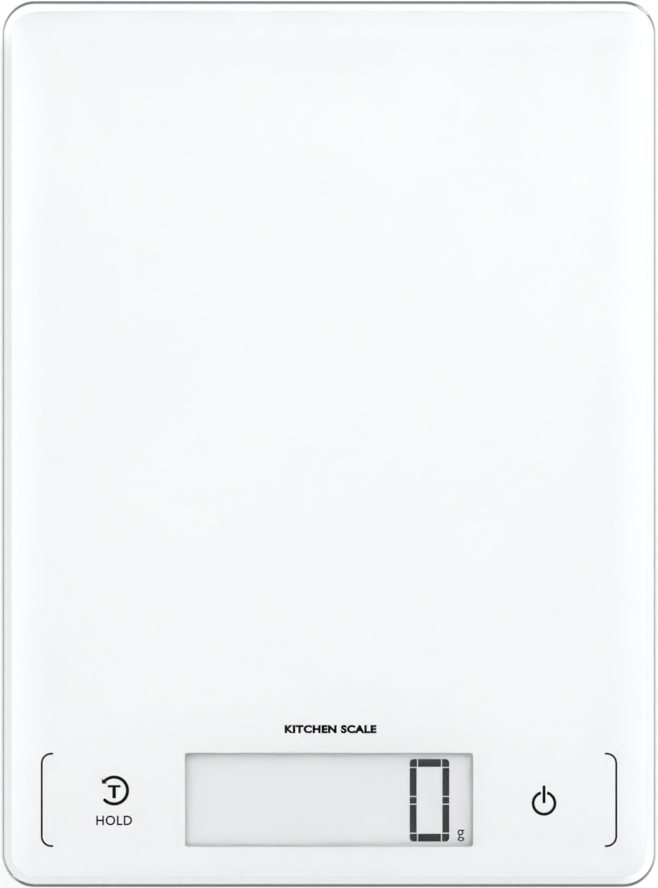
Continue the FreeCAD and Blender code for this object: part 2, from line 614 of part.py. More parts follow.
carrier = fused(carrier).cut([display_gap] + key_holes)
for x, y in case_screws:
    carrier = carrier.cut(disc(CASE_SCREW_SHANK / 2, BOSS_SPLIT, CARRIER_BOTTOM, x, y))
for x, y in board_screws:
    carrier = carrier.cut(disc(SMALL_SCREW_SHANK / 2, BOARD_TOP, CARRIER_BOTTOM, x, y))
save("upper_carrier", carrier)
save("case_screws", group([screw(x, y, HEAD_BOTTOM, CASE_SCREW_HEAD_HEIGHT, CASE_SCREW_HEAD, CASE_SCREW_SHANK,
                                 CARRIER_BOTTOM) for x, y in case_screws]))

tape = slab(COVER_TOP_WIDTH - 2 * TAPE_EDGE, COVER_TOP_DEPTH - 2 * TAPE_EDGE, COVER_CORNER - TAPE_EDGE,
            CARRIER_TOP, INK_BOTTOM)
tape_x = COVER_TOP_WIDTH / 2 - TAPE_WIDTH
tape_back = COVER_TOP_DEPTH / 2 - TAPE_WIDTH
tape = tape.cut(block(-tape_x, tape_x, LCD_BACK + TAPE_WIDTH / 2, tape_back, CARRIER_TOP, INK_BOTTOM))
save("adhesive_frame", tape.cut([display_gap] + key_holes))


# ---------------------------------------------------------------- foot modules
def well_block(x, y):
    """Solid block of the cover that the load cell's well is cut from; its ears point along Y."""
    half = BRACKET_HALF + FIT + WELL_WALL
    return block(x - half, x + half, y - half - EAR_LENGTH, y + half + EAR_LENGTH, COVER_LIFT, WELL_TOP)


def well_cuts(x, y, side):
    half = BRACKET_HALF + FIT
    pocket = LOAD_CELL_SIZE / 2 - LOAD_CELL_FRAME + FIT
    channel_y = gauge_middle(y)
    channel = 2.5 * LEAD_RADIUS
    inward_end = x - side * (half + WELL_WALL)
    cuts = [
        block(x - half, x + half, y - half - EAR_LENGTH, y + half + EAR_LENGTH, COVER_LIFT, BRACKET_TOP),
        block(x - half, x + half, y - half, y + half, BRACKET_TOP, LOAD_CELL_TOP),
        block(x - pocket, x + pocket, y - pocket, y + pocket, LOAD_CELL_TOP, POCKET_TOP),
        block(min(x, inward_end), max(x, inward_end), channel_y - channel, channel_y + channel,
              LOAD_CELL_TOP, POCKET_TOP)]
    for ear_y in ear_places(y):
        cuts.append(disc(SMALL_SCREW_SHANK / 2, BRACKET_TOP, BRACKET_TOP + SMALL_SCREW_BITE, x, ear_y))
    return cuts


def ear_places(y):
    reach = BRACKET_HALF + FIT + EAR_LENGTH / 2
    return (y - reach, y + reach)


def cell_bracket(x, y):
    """Plate that closes the well: a hole for the foot, corner posts under the load cell, two screw ears."""
    half = BRACKET_HALF
    plate = block(x - half, x + half, y - half - EAR_LENGTH, y + half + EAR_LENGTH, COVER_LIFT, BRACKET_TOP)
    inner = (LOAD_CELL_SIZE - BRACKET_POST) / 2
    posts = []
    for x0, x1 in ((x - half, x - inner), (x + inner, x + half)):
        for y0, y1 in ((y - half, y - inner), (y + inner, y + half)):
            posts.append(block(x0, x1, y0, y1, BRACKET_TOP, LOAD_CELL_BOTTOM))
    bracket = fused([plate] + posts)
    bracket = bracket.cut(disc(FOOT_DIAMETER / 2 + SWEPT, COVER_LIFT, BRACKET_TOP, x, y))
    for ear_y in ear_places(y):
        head_top = COVER_LIFT + BRACKET_SCREW_SUNK + SMALL_SCREW_HEAD_HEIGHT
        bracket = bracket.cut(disc(SMALL_SCREW_HEAD / 2 + FIT, COVER_LIFT, head_top, x, ear_y))
        bracket = bracket.cut(disc(SMALL_SCREW_SHANK / 2 + PIN_FIT, head_top, BRACKET_TOP, x, ear_y))
    return bracket


def foot(x, y):
    """Plastic foot: a disc with a seat for the pad, a flange that keeps it in, a boss under the load cell."""
    top = FLANGE_BOTTOM + FOOT_FLANGE_HEIGHT
    body = fused([disc(FOOT_DIAMETER / 2, PAD_HEIGHT - PAD_SUNK, FLANGE_BOTTOM, x, y),
                  disc(FOOT_DIAMETER / 2 + FOOT_FLANGE, FLANGE_BOTTOM, top, x, y),
                  disc(FOOT_BOSS_DIAMETER / 2, top, LOAD_CELL_BOTTOM, x, y)])
    return body.cut(disc(FOOT_DIAMETER / 2 - PAD_INSET, PAD_HEIGHT - PAD_SUNK, PAD_HEIGHT, x, y))


def load_cell(x, y):
    """Stamped steel plate: a square frame with a tongue that reaches in over the foot."""
    half = LOAD_CELL_SIZE / 2
    hole = half - LOAD_CELL_FRAME
    frame = slab(LOAD_CELL_SIZE, LOAD_CELL_SIZE, LOAD_CELL_CORNER, LOAD_CELL_BOTTOM, LOAD_CELL_TOP, (x, y))
    frame = frame.cut(slab(2 * hole, 2 * hole, LOAD_CELL_CORNER, LOAD_CELL_BOTTOM, LOAD_CELL_TOP, (x, y)))
    tongue = block(x - TONGUE_WIDTH / 2, x + TONGUE_WIDTH / 2, y - TONGUE_REACH, y + half,
                   LOAD_CELL_BOTTOM, LOAD_CELL_TOP)
    return fused([frame, tongue])


def gauge_middle(y):
    """The strain gauge sits at the root of the tongue, against the back of the pocket."""
    return y + LOAD_CELL_SIZE / 2 - LOAD_CELL_FRAME + FIT - GAUGE_WIDTH / 2


def cell_lead_route(x, y, side):
    """From the gauge through the notch in the well wall, along the floor and up to the board."""
    gauge_y = gauge_middle(y)
    level = (LOAD_CELL_TOP + POCKET_TOP) / 2
    step = 0.0 if y < 0 else LANE_STEP
    lane = side * (FOOT_X - BRACKET_HALF - LEAD_LANE - step)
    start = Vec(x - side * GAUGE_LENGTH / 2, gauge_y, level)
    landing_y = BOARD_BACK_Y - LANDING_INSET - step
    return [start, Vec(lane, gauge_y, level), Vec(lane, landing_y, level), Vec(lane, landing_y, BOARD_BOTTOM)]


bracket_screws = []
wells = []
well_holes = []
for place, x, y, side in foot_places():
    save(f"{place}_load_cell", load_cell(x, y))
    save(f"{place}_cell_bracket", cell_bracket(x, y))
    save(f"{place}_foot", foot(x, y))
    save(f"{place}_foot_pad", disc(FOOT_DIAMETER / 2 - PAD_INSET, 0.0, PAD_HEIGHT, x, y))
    gauge_y = gauge_middle(y)
    save(f"{place}_strain_gauge", block(x - GAUGE_LENGTH / 2, x + GAUGE_LENGTH / 2,
                                        gauge_y - GAUGE_WIDTH / 2, gauge_y + GAUGE_WIDTH / 2,
                                        LOAD_CELL_TOP, LOAD_CELL_TOP + GAUGE_THICKNESS))
    save(f"{place}_cell_lead", tube_along(cell_lead_route(x, y, side), LEAD_RADIUS, LEAD_BEND))
    bracket_screws += [screw(x, ear_y, COVER_LIFT + BRACKET_SCREW_SUNK, SMALL_SCREW_HEAD_HEIGHT,
                             SMALL_SCREW_HEAD, SMALL_SCREW_SHANK, BRACKET_TOP + SMALL_SCREW_BITE)
                       for ear_y in ear_places(y)]
    wells.append(well_block(x, y))
    well_holes += well_cuts(x, y, side)
save("bracket_screws", group(bracket_screws))

# ---------------------------------------------------------------- battery bay, door and cells
LATCH_FRONT = DOOR_FRONT - LATCH_POCKET
LATCH_LIP = LATCH_FRONT - LATCH_NOSE - SWING
LATCH_HALF = LATCH_WIDTH / 2
POCKET_HALF = LATCH_HALF + 2 * SWING
TAIL_Z = (CELL_Z - TAIL_WIDTH / 2, CELL_Z + TAIL_WIDTH / 2)
FRONT_CELL_Y = BAY_Y - CELL_PITCH * (CELL_COUNT - 1) / 2
BACK_CELL_Y = BAY_Y + CELL_PITCH * (CELL_COUNT - 1) / 2


def bay_walls():
    """Walls of the bay, the ledge the door closes on, the pin blocks and the latch pocket."""
    outer_x = BAY_X + COVER_WALL
    bay = block(-outer_x, outer_x, DOOR_FRONT - COVER_WALL / 2, BAY_REAR_WALL + COVER_WALL,
                COVER_LIFT, CARRIER_BOTTOM)
    pins = block(-outer_x - PIN_LENGTH / 2, outer_x + PIN_LENGTH / 2, HINGE_Y - 2 * BARREL_RADIUS,
                 BAY_REAR_WALL + COVER_WALL, COVER_LIFT, HINGE_Z + 2 * BARREL_RADIUS)
    latch = block(-POCKET_HALF - COVER_WALL, POCKET_HALF + COVER_WALL, LATCH_LIP - COVER_WALL, DOOR_FRONT,
                  COVER_LIFT, COVER_LIFT + LATCH_POCKET_HEIGHT + COVER_WALL)
    return [bay, pins, latch]


def bay_cuts():
    pin_hole = PIN_RADIUS + PIN_FIT
    hole_end = BAY_X + PIN_LENGTH
    cuts = [
        block(-BAY_X, BAY_X, BAY_FRONT, BAY_REAR_WALL, COVER_LIFT, CARRIER_BOTTOM),
        block(-BAY_X - DOOR_LEDGE, BAY_X + DOOR_LEDGE, DOOR_FRONT, BAY_REAR_WALL, COVER_LIFT, SEAT_Z),
        block(-BAY_X - DOOR_LEDGE, BAY_X + DOOR_LEDGE, HINGE_Y - BARREL_RADIUS - SWING, BAY_REAR_WALL,
              COVER_LIFT, HINGE_Z + BARREL_RADIUS + SWING),
        rod_along_x(pin_hole, -hole_end, hole_end, HINGE_Y, HINGE_Z),
        block(-POCKET_HALF, POCKET_HALF, LATCH_FRONT, DOOR_FRONT, COVER_LIFT, COVER_LIFT + LATCH_POCKET_HEIGHT),
        block(-POCKET_HALF, POCKET_HALF, LATCH_LIP, DOOR_FRONT, FLOOR_TOP, COVER_LIFT + LATCH_POCKET_HEIGHT)]
    for side, y in ((-1, FRONT_CELL_Y), (1, BACK_CELL_Y)):
        ends = sorted((side * BAY_X, side * (BAY_X + COVER_WALL)))
        cuts.append(block(ends[0], ends[1], y - CONTACT_THICKNESS - FIT, y + CONTACT_THICKNESS + FIT,
                          TAIL_Z[0] - FIT, TAIL_Z[1] + FIT))
    return cuts


def rear_ribs():
    """Two ribs that keep the cells forward of the hinge."""
    half = RIB_THICKNESS / 2
    low = HINGE_Z + BARREL_RADIUS + 2 * SWING
    return [block(x - half, x + half, BAY_BACK, BAY_REAR_WALL + half, low, CARRIER_BOTTOM)
            for x in (-BAY_X / 2, BAY_X / 2)]


def door():
    """Flat door with a hinge barrel along its back edge, two end pins and inner stiffening ribs."""
    half = BAY_X + DOOR_LEDGE - SWING
    plate = block(-half, half, DOOR_FRONT + SWING, HINGE_Y, COVER_LIFT, COVER_LIFT + DOOR_THICKNESS)
    tab = block(-LATCH_HALF, LATCH_HALF, LATCH_FRONT + SWING, DOOR_FRONT + DOOR_LEDGE, COVER_LIFT,
                COVER_LIFT + DOOR_THICKNESS)
    barrel = rod_along_x(BARREL_RADIUS, -half, half, HINGE_Y, HINGE_Z)
    pin_end = BAY_X + PIN_LENGTH - SWING
    pins = rod_along_x(PIN_RADIUS, -pin_end, pin_end, HINGE_Y, HINGE_Z)
    return fused([plate, tab, barrel, pins])


def latch():
    """Springy blade that stands on the door's tab, with a nose over the edge of the floor."""
    foot_z = COVER_LIFT + DOOR_THICKNESS
    y0 = LATCH_FRONT + SWING
    nose_z = FLOOR_TOP + FLANGE_PLAY
    blade = block(-LATCH_HALF, LATCH_HALF, y0, y0 + LATCH_BLADE, foot_z, foot_z + LATCH_RISE)
    tip = [Vec(-LATCH_HALF, y0, nose_z), Vec(-LATCH_HALF, y0 - LATCH_NOSE, nose_z),
           Vec(-LATCH_HALF, y0, nose_z + LATCH_NOSE_HEIGHT), Vec(-LATCH_HALF, y0, nose_z)]
    nose = Part.Face(Part.makePolygon(tip)).extrude(Vec(2 * LATCH_HALF, 0, 0))
    return fused([blade, nose])


def cell(y, sign):
    """Dry cell along X, its raised contact towards sign."""
    start = -sign * (BAY_X - CONTACT_THICKNESS - SPRING_LENGTH)
    body_end = start + sign * (CELL_LENGTH - NUB_LENGTH)
    nub_end = start + sign * CELL_LENGTH
    body = rod_along_x(CELL_DIAMETER / 2, min(start, body_end), max(start, body_end), y, CELL_Z)
    nub = rod_along_x(NUB_DIAMETER / 2, min(body_end, nub_end), max(body_end, nub_end), y, CELL_Z)
    return fused([body, nub])


def contact(side, y0, y1, tail_y=None):
    """Sheet contact flat on the end wall of the bay, with a tail through it where a lead is soldered."""
    face = sorted((side * BAY_X, side * (BAY_X - CONTACT_THICKNESS)))
    sheet = block(face[0], face[1], y0, y1, CELL_Z - CONTACT_HEIGHT / 2, CELL_Z + CONTACT_HEIGHT / 2)
    if tail_y is None:
        return sheet
    reach = sorted((side * BAY_X, side * (BAY_X + COVER_WALL + TAIL_REACH)))
    tail = block(reach[0], reach[1], tail_y - CONTACT_THICKNESS, tail_y + CONTACT_THICKNESS, *TAIL_Z)
    return fused([sheet, tail])


def leaf_spring(y, sign):
    """Folded sheet spring on the contact behind a cell, its nose against the cell's flat end."""
    root = -sign * (BAY_X - CONTACT_THICKNESS)
    nose = root + sign * SPRING_LENGTH
    inner = nose - sign * SPRING_SHEET
    profile = [(root, SPRING_SPREAD), (nose, SPRING_NOSE), (nose, -SPRING_NOSE), (root, -SPRING_SPREAD),
               (root, SPRING_SHEET - SPRING_SPREAD), (inner, SPRING_SHEET / 2 - SPRING_NOSE),
               (inner, SPRING_NOSE - SPRING_SHEET / 2), (root, SPRING_SPREAD - SPRING_SHEET)]
    points = [Vec(x, y - SPRING_WIDTH / 2, CELL_Z + z) for x, z in profile]
    return Part.Face(Part.makePolygon(points + points[:1])).extrude(Vec(0, SPRING_WIDTH, 0))


signs = [-1 if index % 2 == 0 else 1 for index in range(CELL_COUNT)]
cell_ys = [FRONT_CELL_Y + CELL_PITCH * index for index in range(CELL_COUNT)]
for index, (y, sign) in enumerate(zip(cell_ys, signs)):
    save(f"battery_{index + 1}", cell(y, sign))
pad = CONTACT_HEIGHT / 2
save("battery_contacts", group([
    contact(-1, cell_ys[0] - pad, cell_ys[0] + pad, cell_ys[0]),
    contact(-1, cell_ys[1] - pad, cell_ys[2] + pad),
    contact(1, cell_ys[0] - pad, cell_ys[1] + pad),
    contact(1, cell_ys[2] - pad, cell_ys[2] + pad, cell_ys[2])]))
save("battery_springs", group([leaf_spring(y, sign) for y, sign in zip(cell_ys, signs)]))
save("battery_door", door())
save("door_latch", latch())

for name, side, y in (("positive", -1, cell_ys[0]), ("negative", 1, cell_ys[-1])):
    tail_end = side * (BAY_X + COVER_WALL + TAIL_REACH)
    lane = side * (BAY_X + COVER_WALL + LANDING_INSET)
    landing_y = BOARD_BACK_Y - LANDING_INSET
    route = [Vec(tail_end, y, CELL_Z), Vec(lane, y, CELL_Z), Vec(lane, landing_y, WELL_TOP - 2 * SWING),
             Vec(lane, landing_y, BOARD_BOTTOM)]
    save(f"battery_lead_{name}", tube_along(route, BATTERY_LEAD_RADIUS, LEAD_BEND))


# ---------------------------------------------------------------- base cover
def cover_shell(inset, z0, z1):
    """The cover's leaning sides, drawn in by a wall, between two heights."""
    rise = CARRIER_BOTTOM - COVER_LIFT
    wires = []
    for z in (z0, z1):
        lean = COVER_INSET_BOTTOM + (COVER_INSET_TOP - COVER_INSET_BOTTOM) * (z - COVER_LIFT) / rise
        wires.append(outline(PLATE_WIDTH - 2 * (lean + inset), PLATE_DEPTH - 2 * (lean + inset),
                             COVER_CORNER - inset, z))
    return Part.makeLoft(wires, True, True)


shell = cover_shell(0.0, COVER_LIFT, CARRIER_BOTTOM)
low_edges = [e for e in shell.Edges if e.BoundBox.ZMax < COVER_LIFT + 1e-6]
shell = shell.makeFillet(COVER_EDGE_ROUND, low_edges)
tray = shell.cut(cover_shell(COVER_WALL, FLOOR_TOP, CARRIER_BOTTOM))
posts = [disc(CASE_SCREW_HEAD / 2 + BOSS_WALL, COVER_LIFT, BOSS_SPLIT, x, y) for x, y in case_screws]
cover = fused([tray] + wells + bay_walls() + posts)
cuts = well_holes + bay_cuts()
for x, y in case_screws:
    cuts.append(disc(CASE_SCREW_HEAD / 2 + FIT, COVER_LIFT, HEAD_TOP, x, y))
    cuts.append(disc(CASE_SCREW_SHANK / 2 + FIT, HEAD_TOP, BOSS_SPLIT, x, y))
cuts.append(disc(BUTTON_DIAMETER / 2 + FIT, COVER_LIFT, FLOOR_TOP, BUTTON_X, SWITCH_Y))
cuts.append(slab(LABEL_WIDTH, LABEL_DEPTH, LABEL_CORNER, COVER_LIFT, COVER_LIFT + LABEL_RECESS, (0.0, LABEL_Y)))
cover = fused([cover.cut(cuts)] + rear_ribs())
save("base_cover", cover)
print("overall", PLATE_WIDTH, PLATE_DEPTH, round(PLATE_TOP, 3))
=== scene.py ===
"""Digital kitchen scale: glass weighing plate, printed keys, segment display, slim housing, sprung feet."""
import json
import math

import bmesh
import bpy
from mathutils import Matrix, Vector

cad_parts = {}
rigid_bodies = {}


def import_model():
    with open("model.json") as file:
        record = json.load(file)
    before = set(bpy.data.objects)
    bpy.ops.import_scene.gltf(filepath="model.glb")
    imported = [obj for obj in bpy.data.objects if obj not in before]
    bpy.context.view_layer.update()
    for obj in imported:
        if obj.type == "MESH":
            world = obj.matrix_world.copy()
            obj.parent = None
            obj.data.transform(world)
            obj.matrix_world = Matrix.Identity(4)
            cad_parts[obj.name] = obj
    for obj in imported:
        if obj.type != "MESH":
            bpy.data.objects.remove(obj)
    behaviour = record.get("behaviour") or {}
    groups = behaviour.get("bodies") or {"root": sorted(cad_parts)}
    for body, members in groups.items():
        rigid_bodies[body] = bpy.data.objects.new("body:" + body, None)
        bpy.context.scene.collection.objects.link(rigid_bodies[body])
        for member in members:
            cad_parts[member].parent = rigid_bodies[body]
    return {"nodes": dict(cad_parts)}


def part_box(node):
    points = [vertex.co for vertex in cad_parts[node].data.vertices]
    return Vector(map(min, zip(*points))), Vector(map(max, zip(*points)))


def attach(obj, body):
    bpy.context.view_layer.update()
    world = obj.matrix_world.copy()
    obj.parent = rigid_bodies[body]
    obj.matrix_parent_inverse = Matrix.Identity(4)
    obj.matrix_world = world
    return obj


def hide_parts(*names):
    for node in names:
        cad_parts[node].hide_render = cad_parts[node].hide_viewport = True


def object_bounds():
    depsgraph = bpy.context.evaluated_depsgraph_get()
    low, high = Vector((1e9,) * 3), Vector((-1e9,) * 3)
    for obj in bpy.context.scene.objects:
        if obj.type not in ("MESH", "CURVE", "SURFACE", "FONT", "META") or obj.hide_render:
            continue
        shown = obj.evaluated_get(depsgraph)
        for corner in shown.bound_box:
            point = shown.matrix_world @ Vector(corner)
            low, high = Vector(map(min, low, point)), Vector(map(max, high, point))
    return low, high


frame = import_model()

MM = 0.001
cad_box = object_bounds()

# ------------------------------------------------------------------------------------------------
# The table and the light. A white acrylic table that is also lit a little from below, an even studio
# dome, greyer near the horizon and dark round the camera, which looks straight down with a long lens.
# ------------------------------------------------------------------------------------------------
LENS = 200.0
SENSOR = 36.0
VIEW_HEIGHT = 284.85 * MM       # what the frame's long side takes in at the plate's edge
FLOOR_SIZE = 6.0
FLOOR_COLOUR = (0.25, 0.25, 0.25)
FLOOR_GLOW = 0.60
SKY_TOP = (1.07, 1.067, 1.08)
SKY_LOW = (0.62, 0.625, 0.63)
SKY_DARK_BELOW = 0.16
SKY_BRIGHT_ABOVE = 0.5
SIDE_GLOW = 0.9
CAMERA_FLAG = (0.098, 0.19)     # how far from straight up the dome is dark, and is bright again

low, high = cad_box
edge_height = high.z - 2.0 * MM
camera_data = bpy.data.cameras.new("camera")
camera_data.lens = LENS
camera_data.sensor_width = SENSOR
camera_data.clip_end = 50.0
camera = bpy.data.objects.new("camera", camera_data)
camera.location = (0.0, 0.0, edge_height + VIEW_HEIGHT * LENS / SENSOR)
bpy.context.scene.collection.objects.link(camera)
bpy.context.scene.camera = camera
bpy.context.scene.view_settings.view_transform = "Standard"

bpy.ops.object.select_all(action="DESELECT")
bpy.ops.mesh.primitive_plane_add(size=FLOOR_SIZE, location=(0, 0, 0))
floor = bpy.context.object
floor.name = "floor"
floor_material = bpy.data.materials.new("pale_floor")
floor_material.use_nodes = True
tree = floor_material.node_tree
shader = tree.nodes["Principled BSDF"]
shader.inputs["Base Color"].default_value = (*FLOOR_COLOUR, 1)
shader.inputs["Roughness"].default_value = 0.7
shader.inputs["Emission Color"].default_value = (1.0, 1.0, 1.0, 1)
shader.inputs["Emission Strength"].default_value = FLOOR_GLOW
see_through = tree.nodes.new("ShaderNodeBsdfTransparent")
side = tree.nodes.new("ShaderNodeNewGeometry")
choose = tree.nodes.new("ShaderNodeMixShader")
tree.links.new(side.outputs["Backfacing"], choose.inputs["Fac"])
tree.links.new(shader.outputs["BSDF"], choose.inputs[1])
tree.links.new(see_through.outputs["BSDF"], choose.inputs[2])
tree.links.new(choose.outputs["Shader"], tree.nodes["Material Output"].inputs["Surface"])
floor.data.materials.append(floor_material)

world = bpy.data.worlds.new("studio_dome")
bpy.context.scene.world = world
world.use_nodes = True
tree = world.node_tree
where = tree.nodes.new("ShaderNodeTexCoord")
split = tree.nodes.new("ShaderNodeSeparateXYZ")
tree.links.new(where.outputs["Generated"], split.inputs["Vector"])


def sum_of(tree, operation, first, second):
    """Math node on two sockets or numbers."""
    node = tree.nodes.new("ShaderNodeMath")
    node.operation = operation
    for socket, given in zip(node.inputs, (first, second)):
        if isinstance(given, float):
            socket.default_value = given
        else:
            tree.links.new(given, socket)
    return node.outputs["Value"]


def eased(tree, value, start, end, from_value, to_value):
    """Smooth step of a value between two ends."""
    node = tree.nodes.new("ShaderNodeMapRange")
    node.interpolation_type = "SMOOTHSTEP"
    tree.links.new(value, node.inputs["Value"])
    for name, number in (("From Min", start), ("From Max", end), ("To Min", from_value), ("To Max", to_value)):
        node.inputs[name].default_value = number
    return node.outputs["Result"]


glow = eased(tree, split.outputs["Z"], SKY_DARK_BELOW, SKY_BRIGHT_ABOVE, 0.0, 1.0)
sideways = sum_of(tree, "ABSOLUTE", split.outputs["X"], 0.0)
side_glow = eased(tree, sideways, 0.55, 0.95, 0.0, SIDE_GLOW)
height = sum_of(tree, "MAXIMUM", glow, side_glow)
sky = tree.nodes.new("ShaderNodeMix")
sky.data_type = "RGBA"
sky.inputs["A"].default_value = (*SKY_LOW, 1)
sky.inputs["B"].default_value = (*SKY_TOP, 1)
tree.links.new(height, sky.inputs["Factor"])
tree.links.new(sky.outputs["Result"], tree.nodes["Background"].inputs["Color"])
off_axis = tree.nodes.new("ShaderNodeVectorMath")
off_axis.operation = "DISTANCE"
tree.links.new(where.outputs["Generated"], off_axis.inputs[0])
off_axis.inputs[1].default_value = (0.0, 0.0, 1.0)
strength = eased(tree, off_axis.outputs["Value"], *CAMERA_FLAG, 0.03, 1.0)
tree.links.new(strength, tree.nodes["Background"].inputs["Strength"])


def soft_light(name, place, aim, size, power):
    """Square studio softbox, not seen by the camera itself."""
    data = bpy.data.lights.new(name, "AREA")
    data.size = size
    data.energy = power
    lamp = bpy.data.objects.new(name, data)
    lamp.location = place
    lamp.rotation_mode = "QUATERNION"
    lamp.rotation_quaternion = (Vector(aim) - Vector(place)).to_track_quat("-Z", "Y")
    lamp.visible_camera = False
    bpy.context.scene.collection.objects.link(lamp)


soft_light("key_softbox", (0.7, 0.95, 1.3), (0, 0, 0), 0.45, 34.0)
soft_light("fill_softbox", (-1.2, -0.9, 1.1), (0, 0, 0), 0.9, 14.0)

# ------------------------------------------------------------------------------------------------
# Glass weighing plate: 4 mm float glass, cut with round corners and polished all round its edge.
# Ink is printed on its underside, and the housing is taped to the ink.
# ------------------------------------------------------------------------------------------------
CORNER_STEPS = 20
PLATE_CORNER = 10.6 * MM
EDGE_ROUND = 1.0 * MM
EDGE_STEPS = 6


def only(obj):
    """Make one object the selected and active one."""
    bpy.ops.object.select_all(action="DESELECT")
    obj.select_set(True)
    bpy.context.view_layer.objects.active = obj


def pick(obj, mode, chosen):
    """Select the vertices, edges or faces of the object in edit mode that a test accepts."""
    bpy.ops.mesh.select_mode(type=mode)
    bpy.ops.mesh.select_all(action="DESELECT")
    mesh = bmesh.from_edit_mesh(obj.data)
    items = {"VERT": mesh.verts, "EDGE": mesh.edges, "FACE": mesh.faces}[mode]
    for item in items:
        if chosen(item):
            item.select_set(True)
    mesh.select_flush_mode()
    bmesh.update_edit_mesh(obj.data)


def upright(edge):
    """An edge that runs along Z."""
    a, b = edge.verts
    return abs(a.co.x - b.co.x) < 1e-7 and abs(a.co.y - b.co.y) < 1e-7


def level_at(z):
    """Test for an edge that lies flat at one height."""
    return lambda edge: all(abs(v.co.z - z) < 1e-7 for v in edge.verts)


def rounded_block(name, x0, x1, y0, y1, z0, z1, corner=0.0, top=0.0, bottom=0.0, corner_steps=8, edge_steps=3):
    """Block with its upright edges rounded, then its top and bottom rims."""
    bpy.ops.object.select_all(action="DESELECT")
    bpy.ops.mesh.primitive_cube_add(size=1.0, location=((x0 + x1) / 2, (y0 + y1) / 2, (z0 + z1) / 2),
                                    scale=(x1 - x0, y1 - y0, z1 - z0))
    obj = bpy.context.object
    obj.name = name
    bpy.ops.object.transform_apply(location=True, rotation=True, scale=True)
    bpy.ops.object.mode_set(mode="EDIT")
    if corner:
        pick(obj, "EDGE", upright)
        bpy.ops.mesh.bevel(offset=corner, segments=corner_steps, affect="EDGES")
    for z, size in ((z1, top), (z0, bottom)):
        if size:
            pick(obj, "EDGE", level_at(z))
            bpy.ops.mesh.bevel(offset=size, segments=edge_steps, affect="EDGES")
    bpy.ops.object.mode_set(mode="OBJECT")
    return obj


def smooth(obj, angle=40):
    """Smooth shading except across edges sharper than an angle in degrees, with large faces kept flat."""
    only(obj)
    bpy.ops.object.shade_smooth_by_angle(angle=math.radians(angle))
    even = obj.modifiers.new("even_shading", "WEIGHTED_NORMAL")
    even.keep_sharp = True
    bpy.ops.object.modifier_apply(modifier=even.name)


def boolean(obj, tool, operation):
    """Cut or join another object, which is used up."""
    only(obj)
    change = obj.modifiers.new("shape", "BOOLEAN")
    change.operation = operation
    change.object = tool
    change.solver = "EXACT"
    bpy.ops.object.modifier_apply(modifier=change.name)
    bpy.data.objects.remove(tool)
    return obj


def finish(obj, material, slot_name, body, *stands_for):
    """Give a piece its material and its place in the assembly."""
    obj.data.name = obj.name
    obj.data.materials.clear()
    obj.data.materials.append(material)
    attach(obj, body)
    if stands_for:
        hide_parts(*stands_for)


def effect(name, inputs, outputs):
    """Empty node group with named sockets, and its input and output nodes."""
    group = bpy.data.node_groups.new(name, "ShaderNodeTree")
    kinds = {"value": "NodeSocketFloat", "colour": "NodeSocketColor"}
    for socket, kind, default in inputs:
        made = group.interface.new_socket(name=socket, in_out="INPUT", socket_type=kinds[kind])
        made.default_value = default
    for socket, kind in outputs:
        group.interface.new_socket(name=socket, in_out="OUTPUT", socket_type=kinds[kind])
    return group, group.nodes.new("NodeGroupInput"), group.nodes.new("NodeGroupOutput")


# Mottle: slow change between two colours and two roughnesses, as in any rolled, printed or moulded skin
mottle, given, result = effect(
    "mottle",
    [("Colour", "colour", (0.8, 0.8, 0.8, 1)), ("Tint", "colour", (0.7, 0.7, 0.7, 1)), ("Scale", "value", 60.0),
     ("Smoothest", "value", 0.3), ("Roughest", "value", 0.5)],
    [("Colour", "colour"), ("Roughness", "value")])
where = mottle.nodes.new("ShaderNodeTexCoord")
cloud = mottle.nodes.new("ShaderNodeTexNoise")
cloud.inputs["Detail"].default_value = 4.0
mottle.links.new(where.outputs["Object"], cloud.inputs["Vector"])
mottle.links.new(given.outputs["Scale"], cloud.inputs["Scale"])
blend = mottle.nodes.new("ShaderNodeMix")
blend.data_type = "RGBA"
mottle.links.new(cloud.outputs["Fac"], blend.inputs["Factor"])
mottle.links.new(given.outputs["Colour"], blend.inputs["A"])
mottle.links.new(given.outputs["Tint"], blend.inputs["B"])
mottle.links.new(blend.outputs["Result"], result.inputs["Colour"])
spread = mottle.nodes.new("ShaderNodeMapRange")
mottle.links.new(cloud.outputs["Fac"], spread.inputs["Value"])
mottle.links.new(given.outputs["Smoothest"], spread.inputs["To Min"])
mottle.links.new(given.outputs["Roughest"], spread.inputs["To Max"])
mottle.links.new(spread.outputs["Result"], result.inputs["Roughness"])


def material(name, colour, tint, scale, smoothest, roughest):
    """Principled material whose colour and roughness come from the mottle effect."""
    made = bpy.data.materials.new(name)
    made.use_nodes = True
    nodes = made.node_tree.nodes
    effect_node = nodes.new("ShaderNodeGroup")
    effect_node.node_tree = mottle
    effect_node.inputs["Colour"].default_value = (*colour, 1)
    effect_node.inputs["Tint"].default_value = (*tint, 1)
    effect_node.inputs["Scale"].default_value = scale
    effect_node.inputs["Smoothest"].default_value = smoothest
    effect_node.inputs["Roughest"].default_value = roughest
    principled = nodes["Principled BSDF"]
    made.node_tree.links.new(effect_node.outputs["Colour"], principled.inputs["Base Color"])
    made.node_tree.links.new(effect_node.outputs["Roughness"], principled.inputs["Roughness"])
    return made, made.node_tree, principled


def layer(tree, shader, mask, colour, roughness):
    """Lay a colour and a roughness over what feeds the shader, where a mask is 1."""
    for socket, kind, value in (("Base Color", "RGBA", (*colour, 1)), ("Roughness", "FLOAT", roughness)):
        blend = tree.nodes.new("ShaderNodeMix")
        blend.data_type = kind
        tree.links.new(shader.inputs[socket].links[0].from_socket, blend.inputs["A"])
        blend.inputs["B"].default_value = value
        tree.links.new(mask, blend.inputs["Factor"])
        tree.links.new(blend.outputs["Result"], shader.inputs[socket])


